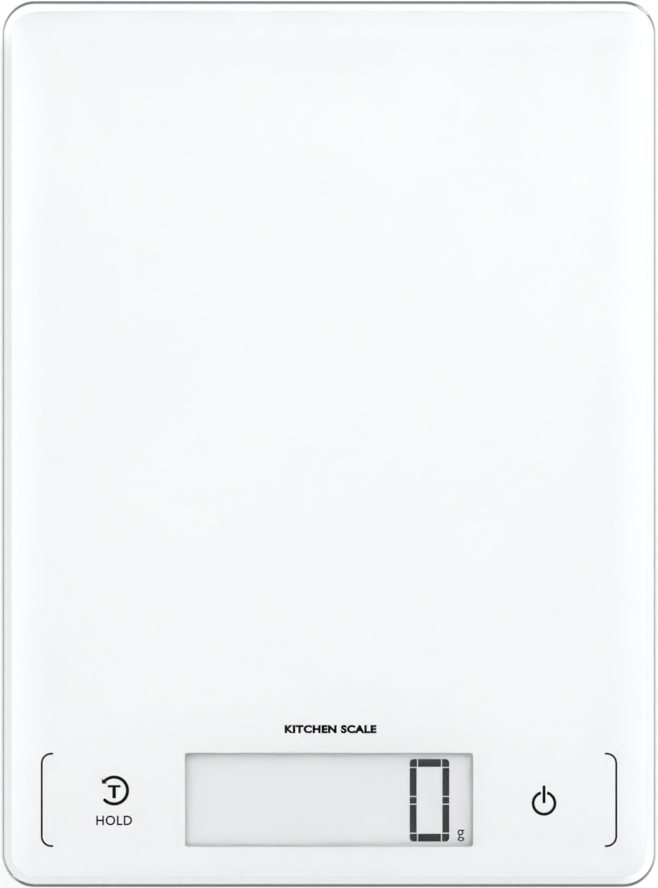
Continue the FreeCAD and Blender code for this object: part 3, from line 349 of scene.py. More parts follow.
GLASS_ABSORBS = (0.55, 0.86, 0.84)
GLASS_DENSITY = 14.0
# Painted shade and painted light on the glass's upright edge faces: a near-black green-grey, partly the edge's own tint
# and partly painted shade for the dark surroundings seen through the rounded rim, made lighter on the faces that look
# along X as painted light from the side lamps
EDGE_TINT_AND_PAINTED_SHADE = (0.025, 0.036, 0.037)
SIDE_PAINTED_LIGHT = 0.35
clear_glass, tree, shader = material("clear_glass", (1, 1, 1), (0.985, 1, 0.995), 18.0, 0.0, 0.012)
shader.inputs["Transmission Weight"].default_value = 1.0
shader.inputs["IOR"].default_value = 1.52
lean = tree.nodes.new("ShaderNodeSeparateXYZ")
tree.links.new(tree.nodes.new("ShaderNodeTexCoord").outputs["Normal"], lean.inputs["Vector"])
# Mask of the painted edge shade: the upright faces, weaker where they face along X, which is painted light from the
# sides
edge_tint_and_shade_mask = eased(tree, sum_of(tree, "ABSOLUTE", lean.outputs["Z"], 0.0), 0.975, 0.9995, 1.0, 0.0)
side_painted_light = eased(tree, sum_of(tree, "ABSOLUTE", lean.outputs["X"], 0.0), 0.2, 0.7, 1.0, SIDE_PAINTED_LIGHT)
edge_tint_and_shade_mask = sum_of(tree, "MULTIPLY", edge_tint_and_shade_mask, side_painted_light)
layer(tree, shader, edge_tint_and_shade_mask, EDGE_TINT_AND_PAINTED_SHADE, 0.06)
absorb = tree.nodes.new("ShaderNodeVolumeAbsorption")
absorb.inputs["Color"].default_value = (*GLASS_ABSORBS, 1)
absorb.inputs["Density"].default_value = GLASS_DENSITY
tree.links.new(absorb.outputs["Volume"], tree.nodes["Material Output"].inputs["Volume"])

low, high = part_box("glass_platform")
glass_plate = rounded_block("glass_plate", low.x, high.x, low.y, high.y, low.z, high.z, PLATE_CORNER,
                            EDGE_ROUND, EDGE_ROUND, CORNER_STEPS, EDGE_STEPS)
smooth(glass_plate, 30)
finish(glass_plate, clear_glass, "clear_glass", "housing", "glass_platform")
glass_underside = low.z

# ------------------------------------------------------------------------------------------------
# White ink: screen-printed and fired on the underside of the glass, short of its edge, with a
# window for the display. It is bonded to the glass, so it reaches a hair into it.
# ------------------------------------------------------------------------------------------------
INK_CORNER = 7.5 * MM
WINDOW_CORNER = 1.2 * MM
BOND = 0.02 * MM
WINDOW_SIZE = (92.5 * MM, 30.2 * MM)
WINDOW_FROM_FRONT = 27.8 * MM

window_y = glass_plate.bound_box[0][1] + WINDOW_FROM_FRONT
low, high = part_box("white_print")
ink_sheet = rounded_block("ink_sheet", low.x, high.x, low.y, high.y, low.z, glass_underside + BOND, INK_CORNER,
                          corner_steps=CORNER_STEPS)
window = rounded_block("window", -WINDOW_SIZE[0] / 2, WINDOW_SIZE[0] / 2, window_y - WINDOW_SIZE[1] / 2,
                       window_y + WINDOW_SIZE[1] / 2, low.z - MM, high.z + MM, WINDOW_CORNER)
boolean(ink_sheet, window, "DIFFERENCE")
# Width of a painted glow: the white ink is made lighter near its outer rim, standing in for light that gets in at the
# plate's edges
INK_PAINTED_GLOW_WIDTH = 14.0 * MM

white_ink, tree, shader = material("white_ink", (0.924, 0.875, 0.878), (0.904, 0.857, 0.86), 9.0, 0.45, 0.6)
# Painted light: lighter ink within that width of the ink's outer rim, fading inwards
place = tree.nodes.new("ShaderNodeSeparateXYZ")
tree.links.new(tree.nodes.new("ShaderNodeTexCoord").outputs["Object"], place.inputs["Vector"])
from_side = sum_of(tree, "SUBTRACT", high.x, sum_of(tree, "ABSOLUTE", place.outputs["X"], 0.0))
from_end = sum_of(tree, "SUBTRACT", high.y, sum_of(tree, "ABSOLUTE", place.outputs["Y"], 0.0))
painted_rim_glow = eased(tree, sum_of(tree, "MINIMUM", from_side, from_end), 0.0, INK_PAINTED_GLOW_WIDTH, 1.0, 0.0)
layer(tree, shader, painted_rim_glow, (0.975, 0.94, 0.945), 0.5)
finish(ink_sheet, white_ink, "white_ink", "housing", "white_print")

# ------------------------------------------------------------------------------------------------
# Black ink, printed before the white: two brackets round the controls, the tare mark with its word,
# and the power mark. A plain word in capitals stands where a maker would put a name.
# ------------------------------------------------------------------------------------------------
MARK_BOTTOM = glass_underside - 0.06 * MM
MARK_TOP = glass_underside + 2 * BOND
BRACKET_X = 92.5 * MM
BRACKET_TIP = 4.0 * MM
BRACKET_HEIGHT = 30.3 * MM
BRACKET_CORNER = 3.4 * MM
BRACKET_STROKE = 0.65 * MM
TARE = (-68.95 * MM, window_y + 3.0 * MM)
TARE_RADIUS = 4.3 * MM
TARE_STROKE = 1.05 * MM
TARE_ARC = (-135.0, 274.0)
ARROW = ((-3.98, 3.88), (-3.94, 2.21), (-2.24, 2.21))
HOLD_MIDDLE = (-68.95 * MM, window_y - 6.6 * MM)
HOLD_WIDTH = 11.5 * MM
HOLD_HEIGHT = 3.17 * MM
POWER = (69.0 * MM, window_y - 1.1 * MM)
POWER_RADIUS = 3.5 * MM
POWER_STROKE = 0.97 * MM
POWER_GAP = 32.0
POWER_BAR = 5.7 * MM
NAME_MIDDLE = (0.5 * MM, window_y + 22.7 * MM)
NAME_WIDTH = 29.5 * MM
NAME_HEIGHT = 2.7 * MM
ARC_STEP = 5.0


def arc_stroke(name, middle, radius, stroke, start, sweep, z0, z1):
    """Flat stroke along an arc, anticlockwise from a start angle in degrees, spun from its end face."""
    bpy.ops.object.select_all(action="DESELECT")
    bpy.ops.mesh.primitive_plane_add(size=1.0, location=(radius, 0, (z0 + z1) / 2), rotation=(math.pi / 2, 0, 0))
    obj = bpy.context.object
    obj.name = name
    obj.scale = (stroke, z1 - z0, 1.0)
    bpy.ops.object.transform_apply(location=True, rotation=True, scale=True)
    bpy.ops.object.mode_set(mode="EDIT")
    bpy.ops.mesh.select_all(action="SELECT")
    bpy.ops.mesh.spin(steps=max(4, round(sweep / ARC_STEP)), angle=-math.radians(sweep), center=(0, 0, 0),
                      axis=(0, 0, 1))
    bpy.ops.mesh.select_all(action="SELECT")
    bpy.ops.mesh.remove_doubles(threshold=1e-6)
    bpy.ops.object.mode_set(mode="OBJECT")
    if sweep < 360:
        cap_open_ends(obj)
    obj.data.transform(Matrix.Translation((middle[0], middle[1], 0)) @ Matrix.Rotation(math.radians(start), 4, "Z"))
    face_outwards(obj)
    return obj


def cap_open_ends(obj):
    """Close any hole that a spin leaves at the ends of its sweep."""
    only(obj)
    bpy.ops.object.mode_set(mode="EDIT")
    bpy.ops.mesh.select_mode(type="EDGE")
    bpy.ops.mesh.select_all(action="DESELECT")
    bpy.ops.mesh.select_non_manifold(extend=False, use_wire=False, use_multi_face=False, use_non_contiguous=False,
                                     use_verts=False)
    if any(edge.select for edge in bmesh.from_edit_mesh(obj.data).edges):
        bpy.ops.mesh.edge_face_add()
    bpy.ops.object.mode_set(mode="OBJECT")


def face_outwards(obj):
    """Turn all faces of a closed piece outwards."""
    only(obj)
    bpy.ops.object.mode_set(mode="EDIT")
    bpy.ops.mesh.select_all(action="SELECT")
    bpy.ops.mesh.normals_make_consistent(inside=False)
    bpy.ops.object.mode_set(mode="OBJECT")


def join(pieces, name):
    """Several closed pieces kept as one object."""
    bpy.ops.object.select_all(action="DESELECT")
    for piece in pieces:
        piece.select_set(True)
    bpy.context.view_layer.objects.active = pieces[0]
    bpy.ops.object.join()
    pieces[0].name = name
    return pieces[0]


def words(name, text, middle, width, height, z0, z1, spacing, bolder):
    """Capitals cut to a given width and height."""
    bpy.ops.object.select_all(action="DESELECT")
    bpy.ops.object.text_add(location=(0, 0, 0))
    obj = bpy.context.object
    obj.name = name
    obj.data.body = text
    obj.data.space_character = spacing
    obj.data.offset = bolder
    obj.data.extrude = 0.5
    obj.data.resolution_u = 6
    bpy.ops.object.convert(target="MESH")
    obj = bpy.context.object
    bpy.ops.object.mode_set(mode="EDIT")
    bpy.ops.mesh.select_all(action="SELECT")
    bpy.ops.mesh.remove_doubles(threshold=1e-4)
    bpy.ops.object.mode_set(mode="OBJECT")
    xs = [v.co.x for v in obj.data.vertices]
    ys = [v.co.y for v in obj.data.vertices]
    fit = Matrix.Diagonal((width / (max(xs) - min(xs)), height / (max(ys) - min(ys)), z1 - z0, 1))
    centre = Matrix.Translation((-(max(xs) + min(xs)) / 2, -(max(ys) + min(ys)) / 2, 0))
    obj.data.transform(Matrix.Translation((middle[0], middle[1], (z0 + z1) / 2)) @ fit @ centre)
    return obj


brackets = rounded_block("brackets", -BRACKET_X, BRACKET_X, window_y - BRACKET_HEIGHT / 2,
                         window_y + BRACKET_HEIGHT / 2, MARK_BOTTOM, MARK_TOP, BRACKET_CORNER, corner_steps=10)
reach = BRACKET_X - BRACKET_STROKE
rise = BRACKET_HEIGHT / 2 - BRACKET_STROKE
inside = rounded_block("inside", -reach, reach, window_y - rise, window_y + rise, MARK_BOTTOM - MM, MARK_TOP + MM,
                       BRACKET_CORNER - BRACKET_STROKE, corner_steps=10)
boolean(brackets, inside, "DIFFERENCE")
reach = BRACKET_X - BRACKET_TIP
gap = rounded_block("gap", -reach, reach, window_y - BRACKET_HEIGHT, window_y + BRACKET_HEIGHT, MARK_BOTTOM - MM,
                    MARK_TOP + MM)
boolean(brackets, gap, "DIFFERENCE")

marks = [brackets, arc_stroke("tare_arc", TARE, TARE_RADIUS, TARE_STROKE, *TARE_ARC, MARK_BOTTOM, MARK_TOP)]
end = math.radians(TARE_ARC[0])
bpy.ops.mesh.primitive_cylinder_add(vertices=24, radius=TARE_STROKE / 2, depth=MARK_TOP - MARK_BOTTOM, location=(
    TARE[0] + TARE_RADIUS * math.cos(end), TARE[1] + TARE_RADIUS * math.sin(end), (MARK_BOTTOM + MARK_TOP) / 2))
round_end = bpy.context.object
bpy.ops.object.transform_apply(location=True, rotation=True, scale=True)
marks.append(round_end)
bpy.ops.mesh.primitive_cylinder_add(vertices=3, radius=1.0, depth=MARK_TOP - MARK_BOTTOM,
                                    location=(0, 0, (MARK_BOTTOM + MARK_TOP) / 2))
arrow = bpy.context.object
bpy.ops.object.transform_apply(location=True, rotation=True, scale=True)
angles = sorted({round(math.atan2(v.co.y, v.co.x), 4) for v in arrow.data.vertices})
for vertex in arrow.data.vertices:
    corner = ARROW[angles.index(round(math.atan2(vertex.co.y, vertex.co.x), 4))]
    vertex.co.x = TARE[0] + corner[0] * MM
    vertex.co.y = TARE[1] + corner[1] * MM
face_outwards(arrow)
marks.append(arrow)
marks.append(rounded_block("t_bar", TARE[0] - 2.1 * MM, TARE[0] + 2.1 * MM, TARE[1] + 0.96 * MM, TARE[1] + 1.76 * MM,
                           MARK_BOTTOM, MARK_TOP, 0.3 * MM, corner_steps=5))
marks.append(rounded_block("t_stem", TARE[0] - 0.58 * MM, TARE[0] + 0.58 * MM, TARE[1] - 2.53 * MM,
                           TARE[1] + 1.2 * MM, MARK_BOTTOM, MARK_TOP, 0.3 * MM, corner_steps=5))
marks.append(words("hold_word", "HOLD", HOLD_MIDDLE, HOLD_WIDTH, HOLD_HEIGHT, MARK_BOTTOM, MARK_TOP, 1.1, 0.018))
marks.append(arc_stroke("power_arc", POWER, POWER_RADIUS, POWER_STROKE, 90 + POWER_GAP / 2, 360 - POWER_GAP,
                        MARK_BOTTOM, MARK_TOP))
marks.append(rounded_block("power_bar", POWER[0] - POWER_STROKE / 2, POWER[0] + POWER_STROKE / 2, POWER[1],
                           POWER[1] + POWER_BAR, MARK_BOTTOM, MARK_TOP, 0.1 * MM, corner_steps=3))
printed_marks = join(marks, "printed_marks")
black_ink, tree, shader = material("black_ink", (0.004, 0.004, 0.005), (0.008, 0.008, 0.009), 40.0, 0.5, 0.6)
shader.inputs["Specular IOR Level"].default_value = 0.0
finish(printed_marks, black_ink, "black_ink", "housing", "printed_symbols")
name_print = words("name_print", "KITCHEN SCALE", NAME_MIDDLE, NAME_WIDTH, NAME_HEIGHT, MARK_BOTTOM, MARK_TOP,
                   1.1, 0.062)
finish(name_print, black_ink, "black_ink", "housing")

# ------------------------------------------------------------------------------------------------
# Display: a grey film laminated to thin glass, dark lit segments in the layer under it, and the
# rear plate with its silver-grey reflector, whose fine speckle shows through.
# ------------------------------------------------------------------------------------------------
DIGIT_MIDDLE = (32.3 * MM, window_y - 0.3 * MM)
DIGIT = (12.7 * MM, 26.5 * MM)
DIGIT_SIDE = 2.2 * MM
DIGIT_BAR = 2.5 * MM
DIGIT_GAP = 0.35 * MM
DIGIT_CORNER = 1.2 * MM
UNIT_MIDDLE = (42.4 * MM, window_y - 11.6 * MM)
UNIT_BOWL = 0.72 * MM
UNIT_STROKE = 0.5 * MM

film_low, film_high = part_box("lcd_polariser")
plate_low, plate_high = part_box("lcd_front_plate")
front_film = rounded_block("display_front", film_low.x, film_high.x, film_low.y, film_high.y, plate_low.z, film_high.z,
                           0.4 * MM, 0.08 * MM, corner_steps=4, edge_steps=2)
display_film, tree, shader = material("display_film", (0.90, 0.89, 0.89), (0.85, 0.84, 0.84), 2500.0, 0.35, 0.5)
shader.inputs["Alpha"].default_value = 0.03
finish(front_film, display_film, "polariser_film", "housing", "lcd_polariser", "lcd_front_plate")

low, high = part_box("lcd_segments")
x, y = DIGIT_MIDDLE
digit = rounded_block("digit", x - DIGIT[0] / 2, x + DIGIT[0] / 2, y - DIGIT[1] / 2, y + DIGIT[1] / 2, low.z, high.z,
                      DIGIT_CORNER, corner_steps=6)
half_x = DIGIT[0] / 2 - DIGIT_SIDE
half_y = DIGIT[1] / 2 - DIGIT_BAR
boolean(digit, rounded_block("hole", x - half_x, x + half_x, y - half_y, y + half_y, low.z - MM, high.z + MM),
        "DIFFERENCE")
for offset in (-1, 1):
    at = x + offset * (DIGIT[0] / 2 - DIGIT_BAR)
    boolean(digit, rounded_block("slit", at - DIGIT_GAP / 2, at + DIGIT_GAP / 2, y - DIGIT[1], y + DIGIT[1],
                                 low.z - MM, high.z + MM), "DIFFERENCE")
split = DIGIT[1] / 2 - DIGIT_BAR - DIGIT_GAP / 2
for at in (y - split, y - DIGIT_BAR / 2, y + DIGIT_BAR / 2, y + split):
    boolean(digit, rounded_block("slit", x - DIGIT[0], x + DIGIT[0], at - DIGIT_GAP / 2, at + DIGIT_GAP / 2,
                                 low.z - MM, high.z + MM), "DIFFERENCE")
x, y = UNIT_MIDDLE
upper_bowl = arc_stroke("upper_bowl", (x - 0.15 * MM, y + 0.95 * MM), UNIT_BOWL, UNIT_STROKE, 0, 360, low.z, high.z)
lower_bowl = arc_stroke("lower_bowl", (0, 0), UNIT_BOWL, UNIT_STROKE, 0, 360, low.z, high.z)
lower_bowl.data.transform(Matrix.Translation((x, y - 1.15 * MM, 0)) @ Matrix.Diagonal((1.1, 0.78, 1, 1)))
neck = rounded_block("neck", x - 0.75 * MM, x - 0.35 * MM, y - 0.65 * MM, y + 0.45 * MM, low.z, high.z)
ear = rounded_block("ear", x + 0.35 * MM, x + 1.1 * MM, y + 1.45 * MM, y + 1.85 * MM, low.z, high.z)
lit = join([digit, upper_bowl, lower_bowl, neck, ear], "lit_segments")
lcd_dark, tree, shader = material("lcd_dark", (0.024, 0.023, 0.026), (0.036, 0.034, 0.038), 900.0, 0.5, 0.6)
shader.inputs["Specular IOR Level"].default_value = 0.1
finish(lit, lcd_dark, "lcd_dark", "housing", "lcd_segments")


def dress(made, *nodes):
    """Put a material on CAD nodes that stay as they are."""
    for node in nodes:
        obj = frame["nodes"][node]
        obj.data.materials.clear()
        obj.data.materials.append(made)


lcd_back, tree, shader = material("lcd_back", (1.0, 0.955, 0.96), (0.86, 0.82, 0.825), 2600.0, 0.5, 0.6)
dress(lcd_back, "lcd_rear_plate")
reflector, tree, shader = material("reflector", (0.72, 0.73, 0.73), (0.6, 0.61, 0.61), 3000.0, 0.35, 0.5)
dress(reflector, "lcd_reflector")
sealant, tree, shader = material("sealant", (0.5, 0.5, 0.5), (0.42, 0.42, 0.42), 800.0, 0.4, 0.6)
dress(sealant, "lcd_seal")
foam, tree, shader = material("black_foam", (0.03, 0.03, 0.031), (0.055, 0.055, 0.057), 3000.0, 0.8, 0.95)
dress(foam, "lcd_gasket")
contact_rubber, tree, shader = material("contact_rubber", (0.32, 0.10, 0.13), (0.02, 0.02, 0.02), 2600.0, 0.5, 0.7)
dress(contact_rubber, "zebra_strip")

# ------------------------------------------------------------------------------------------------
# Adhesive frame: double-sided foam tape, die cut as one frame, that holds the glass on the carrier.
# Its cut edges are rounded over a little.
# ------------------------------------------------------------------------------------------------
GRAIN_SCALE = 1800.0
SHARP = math.radians(40)


def copy_of(node, name, round_over=0.0, left_sharp=()):
    """Merged copy of a CAD node's mesh, with flat faces whole, and sharp edges rounded except in some boxes."""
    only(frame["nodes"][node])
    bpy.ops.object.duplicate()
    obj = bpy.context.object
    obj.name = name
    obj.data = obj.data.copy()
    only(obj)
    bpy.ops.object.parent_clear(type="CLEAR_KEEP_TRANSFORM")
    bpy.ops.object.transform_apply(location=True, rotation=True, scale=True)
    bpy.ops.object.mode_set(mode="EDIT")
    bpy.ops.mesh.select_all(action="SELECT")
    bpy.ops.mesh.remove_doubles(threshold=1e-6)
    bpy.ops.mesh.dissolve_limited(angle_limit=math.radians(1.0))
    if round_over:
        pick(obj, "EDGE", lambda edge: edge.calc_face_angle(0.0) > SHARP and not any(
            all(b[i] < v.co[i] < t[i] for i in range(3)) for v in edge.verts for b, t in left_sharp))
        bpy.ops.mesh.bevel(offset=round_over, segments=2, affect="EDGES")
    bpy.ops.object.mode_set(mode="OBJECT")
    smooth(obj, 38)
    return obj


# Grain: the fine even texture that a spark-eroded mould leaves, as a height
grain, given, result = effect("grain", [("Scale", "value", GRAIN_SCALE), ("Coarseness", "value", 0.5)],
                              [("Height", "value")])
where = grain.nodes.new("ShaderNodeTexCoord")
pits = grain.nodes.new("ShaderNodeTexNoise")
pits.inputs["Detail"].default_value = 3.0
grain.links.new(where.outputs["Object"], pits.inputs["Vector"])
grain.links.new(given.outputs["Scale"], pits.inputs["Scale"])
cells = grain.nodes.new("ShaderNodeTexVoronoi")
grain.links.new(where.outputs["Object"], cells.inputs["Vector"])
grain.links.new(sum_of(grain, "MULTIPLY", given.outputs["Scale"], 0.6), cells.inputs["Scale"])
blend = grain.nodes.new("ShaderNodeMix")
grain.links.new(given.outputs["Coarseness"], blend.inputs["Factor"])
grain.links.new(pits.outputs["Fac"], blend.inputs["A"])
grain.links.new(cells.outputs["Distance"], blend.inputs["B"])
grain.links.new(blend.outputs["Result"], result.inputs["Height"])

# Edge wear: where a surface turns sharply, broken up by noise, as a mask
edge_wear, given, result = effect("edge_wear", [("Width", "value", 0.0006), ("Amount", "value", 0.5),
                                                ("Scale", "value", 300.0)], [("Mask", "value")])
turned_normal = edge_wear.nodes.new("ShaderNodeBevel")
turned_normal.samples = 4
edge_wear.links.new(given.outputs["Width"], turned_normal.inputs["Radius"])
surface = edge_wear.nodes.new("ShaderNodeNewGeometry")
agree = edge_wear.nodes.new("ShaderNodeVectorMath")
agree.operation = "DOT_PRODUCT"
edge_wear.links.new(turned_normal.outputs["Normal"], agree.inputs[0])
edge_wear.links.new(surface.outputs["Normal"], agree.inputs[1])
where = edge_wear.nodes.new("ShaderNodeTexCoord")
patches = edge_wear.nodes.new("ShaderNodeTexNoise")
edge_wear.links.new(where.outputs["Object"], patches.inputs["Vector"])
edge_wear.links.new(given.outputs["Scale"], patches.inputs["Scale"])
sharp = eased(edge_wear, agree.outputs["Value"], 0.80, 0.99, 1.0, 0.0)
broken = eased(edge_wear, patches.outputs["Fac"], 0.35, 0.65, 0.2, 1.0)
worn = sum_of(edge_wear, "MULTIPLY", sum_of(edge_wear, "MULTIPLY", sharp, broken), given.outputs["Amount"])
edge_wear.links.new(worn, result.inputs["Mask"])

# Dust: a thin uneven film on what faces up, as a mask
dust, given, result = effect("dust", [("Amount", "value", 0.15), ("Scale", "value", 90.0)], [("Mask", "value")])
where = dust.nodes.new("ShaderNodeTexCoord")
facing = dust.nodes.new("ShaderNodeSeparateXYZ")
dust.links.new(where.outputs["Normal"], facing.inputs["Vector"])
drift = dust.nodes.new("ShaderNodeTexNoise")
drift.inputs["Detail"].default_value = 6.0
dust.links.new(where.outputs["Object"], drift.inputs["Vector"])
dust.links.new(given.outputs["Scale"], drift.inputs["Scale"])
upward = eased(dust, facing.outputs["Z"], 0.2, 0.9, 0.0, 1.0)
film = sum_of(dust, "MULTIPLY", upward, eased(dust, drift.outputs["Fac"], 0.4, 0.7, 0.0, 1.0))
dust.links.new(sum_of(dust, "MULTIPLY", film, given.outputs["Amount"]), result.inputs["Mask"])


def textured(tree, shader, height_group, values, depth, strength=1.0):
    """Bump the surface with the height that an effect puts out."""
    node = tree.nodes.new("ShaderNodeGroup")
    node.node_tree = height_group
    for name, number in values.items():
        node.inputs[name].default_value = number
    bump = tree.nodes.new("ShaderNodeBump")
    bump.inputs["Distance"].default_value = depth
    bump.inputs["Strength"].default_value = strength
    tree.links.new(node.outputs["Height"], bump.inputs["Height"])
    tree.links.new(bump.outputs["Normal"], shader.inputs["Normal"])


def masked(tree, shader, mask_group, values, colour, roughness):
    """Lay a colour and a roughness where an effect's mask says."""
    node = tree.nodes.new("ShaderNodeGroup")
    node.node_tree = mask_group
    for name, number in values.items():
        node.inputs[name].default_value = number
    layer(tree, shader, node.outputs["Mask"], colour, roughness)


def moulded(name, colour, tint, smoothest, roughest, worn_colour, grain_depth=0.02 * MM, wear=0.45):
    """Moulded plastic: mottled colour, spark-eroded grain, polished worn edges and a little dust."""
    made, tree, shader = material(name, colour, tint, 60.0, smoothest, roughest)
    textured(tree, shader, grain, {"Scale": GRAIN_SCALE, "Coarseness": 0.5}, grain_depth, 0.5)
    masked(tree, shader, edge_wear, {"Width": 0.5 * MM, "Amount": wear, "Scale": 350.0}, worn_colour, smoothest)
    masked(tree, shader, dust, {"Amount": 0.12, "Scale": 90.0}, (0.62, 0.60, 0.57), 0.9)
    return made


foam_tape, tree, shader = material("foam_tape", (0.86, 0.86, 0.85), (0.74, 0.74, 0.73), 900.0, 0.8, 0.95)
textured(tree, shader, grain, {"Scale": 1400.0, "Coarseness": 0.8}, 0.06 * MM)
tape = copy_of("adhesive_frame", "foam_tape_frame", 0.12 * MM)
finish(tape, foam_tape, "white_foam_tape", "housing", "adhesive_frame")

# ------------------------------------------------------------------------------------------------
# Upper carrier: flat white ABS plate with pockets for the display, the touch springs and the board's
# screw posts. It closes the housing from above and carries the tape.
# ------------------------------------------------------------------------------------------------
white_abs = moulded("white_abs", (0.80, 0.805, 0.80), (0.76, 0.765, 0.765), 0.32, 0.46, (0.88, 0.88, 0.88))
carrier = copy_of("upper_carrier", "carrier_plate", 0.2 * MM)
finish(carrier, white_abs, "white_abs", "housing", "upper_carrier")

# ------------------------------------------------------------------------------------------------
# Base cover: white ABS tray with leaning sides. It has wells for the feet, posts for the case
# screws, the battery bay and a shallow recess for the rating label. Its rim meets the carrier.
# ------------------------------------------------------------------------------------------------
INNER_RIM = 2.6 * MM
TRAY_FLOOR = 1.0 * MM

rim = Vector((3 * MM, 3 * MM, 3 * MM))
wells = [(low - rim, high + rim) for low, high in (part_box(place + "_cell_bracket") for place in (
    "front_left", "front_right", "rear_left", "rear_right"))]
low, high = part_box("base_cover")
inner = Vector((INNER_RIM, INNER_RIM, TRAY_FLOOR))
unseen = (low + inner, Vector((high.x - INNER_RIM, high.y - INNER_RIM, high.z + MM)))
cover = copy_of("base_cover", "cover_tray", 0.12 * MM, wells + [unseen])
finish(cover, white_abs, "white_abs", "housing", "base_cover")

# ------------------------------------------------------------------------------------------------
# Rating label: blank silver polyester sticker in the cover's recess, with rounded corners.
# ------------------------------------------------------------------------------------------------
LABEL_HALF = (31.5 * MM, 12.5 * MM)
LABEL_MIDDLE = -38.0 * MM
LABEL_CORNER = 1.6 * MM
LABEL_SHEET = 0.12 * MM
LABEL_RECESS = 0.3 * MM

recess_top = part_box("base_cover")[0].z + LABEL_RECESS
label = rounded_block("rating_label", -LABEL_HALF[0], LABEL_HALF[0], LABEL_MIDDLE - LABEL_HALF[1],
                      LABEL_MIDDLE + LABEL_HALF[1], recess_top - LABEL_SHEET, recess_top, LABEL_CORNER,
                      bottom=0.03 * MM, corner_steps=6, edge_steps=1)
label_sheet, tree, shader = material("label_sheet", (0.66, 0.67, 0.68), (0.60, 0.61, 0.62), 150.0, 0.28, 0.4)
shader.inputs["Metallic"].default_value = 0.6
textured(tree, shader, grain, {"Scale": 2600.0, "Coarseness": 0.2}, 0.01 * MM)
finish(label, label_sheet, "nickel_plate", "housing")

# ------------------------------------------------------------------------------------------------
# Touch springs: coils of thin steel wire that carry each key's electrode up to the ink.
# The wire keeps the drawing lines of its die.
# ------------------------------------------------------------------------------------------------
# Drawn lines: long fine scratches along one way of a rolled or drawn metal, as a height
drawn_lines, given, result = effect("drawn_lines", [("Scale", "value", 900.0), ("Along", "value", 0.04)],
                                    [("Height", "value")])
where = drawn_lines.nodes.new("ShaderNodeTexCoord")
split = drawn_lines.nodes.new("ShaderNodeSeparateXYZ")
drawn_lines.links.new(where.outputs["Object"], split.inputs["Vector"])
squeezed = drawn_lines.nodes.new("ShaderNodeCombineXYZ")
drawn_lines.links.new(sum_of(drawn_lines, "MULTIPLY", split.outputs["X"], given.outputs["Along"]),
                      squeezed.inputs["X"])
drawn_lines.links.new(split.outputs["Y"], squeezed.inputs["Y"])
drawn_lines.links.new(split.outputs["Z"], squeezed.inputs["Z"])
lines = drawn_lines.nodes.new("ShaderNodeTexNoise")
lines.inputs["Detail"].default_value = 5.0
drawn_lines.links.new(squeezed.outputs["Vector"], lines.inputs["Vector"])
drawn_lines.links.new(given.outputs["Scale"], lines.inputs["Scale"])
drawn_lines.links.new(lines.outputs["Fac"], result.inputs["Height"])


def metal(name, colour, tint, smoothest, roughest, along=0.04):
    """Bare or plated metal with drawn lines, and dull patches."""
    made, tree, shader = material(name, colour, tint, 220.0, smoothest, roughest)
    shader.inputs["Metallic"].default_value = 1.0
    textured(tree, shader, drawn_lines, {"Scale": 900.0, "Along": along}, 0.01 * MM, 0.4)
    masked(tree, shader, edge_wear, {"Width": 0.2 * MM, "Amount": 0.5, "Scale": 900.0},
           tuple(min(1.0, 1.2 * c) for c in colour), smoothest)
    return made


def dress_smooth(made, slot_name, body, width, *nodes):
    """Merged, rounded-over copies of CAD nodes in one finish, each standing for its node."""
    pieces = []
    for node in nodes:
        piece = copy_of(node, node + "_piece", width)
        finish(piece, made, slot_name, body, node)
        pieces.append(piece)
    return pieces


spring_steel = metal("spring_steel", (0.62, 0.63, 0.65), (0.50, 0.51, 0.53), 0.22, 0.38)
dress_smooth(spring_steel, "spring_steel", "housing", 0.0, "tare_touch_spring", "power_touch_spring")

# ------------------------------------------------------------------------------------------------
# Circuit board: green solder mask over copper tracks on glass-fibre laminate. It hangs under the
# carrier on four small screws and holds the controller, small parts and the unit switch.
# ------------------------------------------------------------------------------------------------
TRACK_PITCH = 420.0
board_green, tree, shader = material("board_green", (0.012, 0.115, 0.045), (0.010, 0.09, 0.038), 120.0, 0.25, 0.36)
where = tree.nodes.new("ShaderNodeTexCoord")
tracks = tree.nodes.new("ShaderNodeTexBrick")
tracks.inputs["Scale"].default_value = TRACK_PITCH
tracks.inputs["Mortar Size"].default_value = 0.06
tracks.inputs["Mortar Smooth"].default_value = 0.4
tracks.offset = 0.35
tree.links.new(where.outputs["Object"], tracks.inputs["Vector"])
regions = tree.nodes.new("ShaderNodeTexNoise")
regions.inputs["Scale"].default_value = 70.0
tree.links.new(where.outputs["Object"], regions.inputs["Vector"])
copper_under = sum_of(tree, "MULTIPLY", tracks.outputs["Fac"], eased(tree, regions.outputs["Fac"], 0.45, 0.5, 0.0, 1.0))
layer(tree, shader, copper_under, (0.03, 0.19, 0.07), 0.28)
dress_smooth(board_green, "green_board", "housing", 0.08 * MM, "main_pcb")

CHIP_LEADS = 8
CHIP_LEAD = (0.9 * MM, 0.4 * MM, 0.15 * MM)
low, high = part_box("controller_chip")
reach = CHIP_LEAD[0]
chip_body = rounded_block("chip_body", low.x + reach, high.x - reach, low.y + reach, high.y - reach, low.z,
                          high.z - 0.1 * MM, 0.15 * MM, 0.12 * MM, 0.12 * MM, 2, 1)
pin_mark = rounded_block("pin_mark", low.x + 1.4 * MM, low.x + 2.0 * MM, low.y + 1.4 * MM, low.y + 2.0 * MM,
                         low.z - MM, low.z + 0.06 * MM, 0.29 * MM, corner_steps=5)
boolean(chip_body, pin_mark, "DIFFERENCE")
smooth(chip_body, 30)
black_epoxy = moulded("black_epoxy", (0.02, 0.02, 0.021), (0.03, 0.03, 0.031), 0.45, 0.6, (0.06, 0.06, 0.06))
finish(chip_body, black_epoxy, "black_epoxy", "housing", "controller_chip")

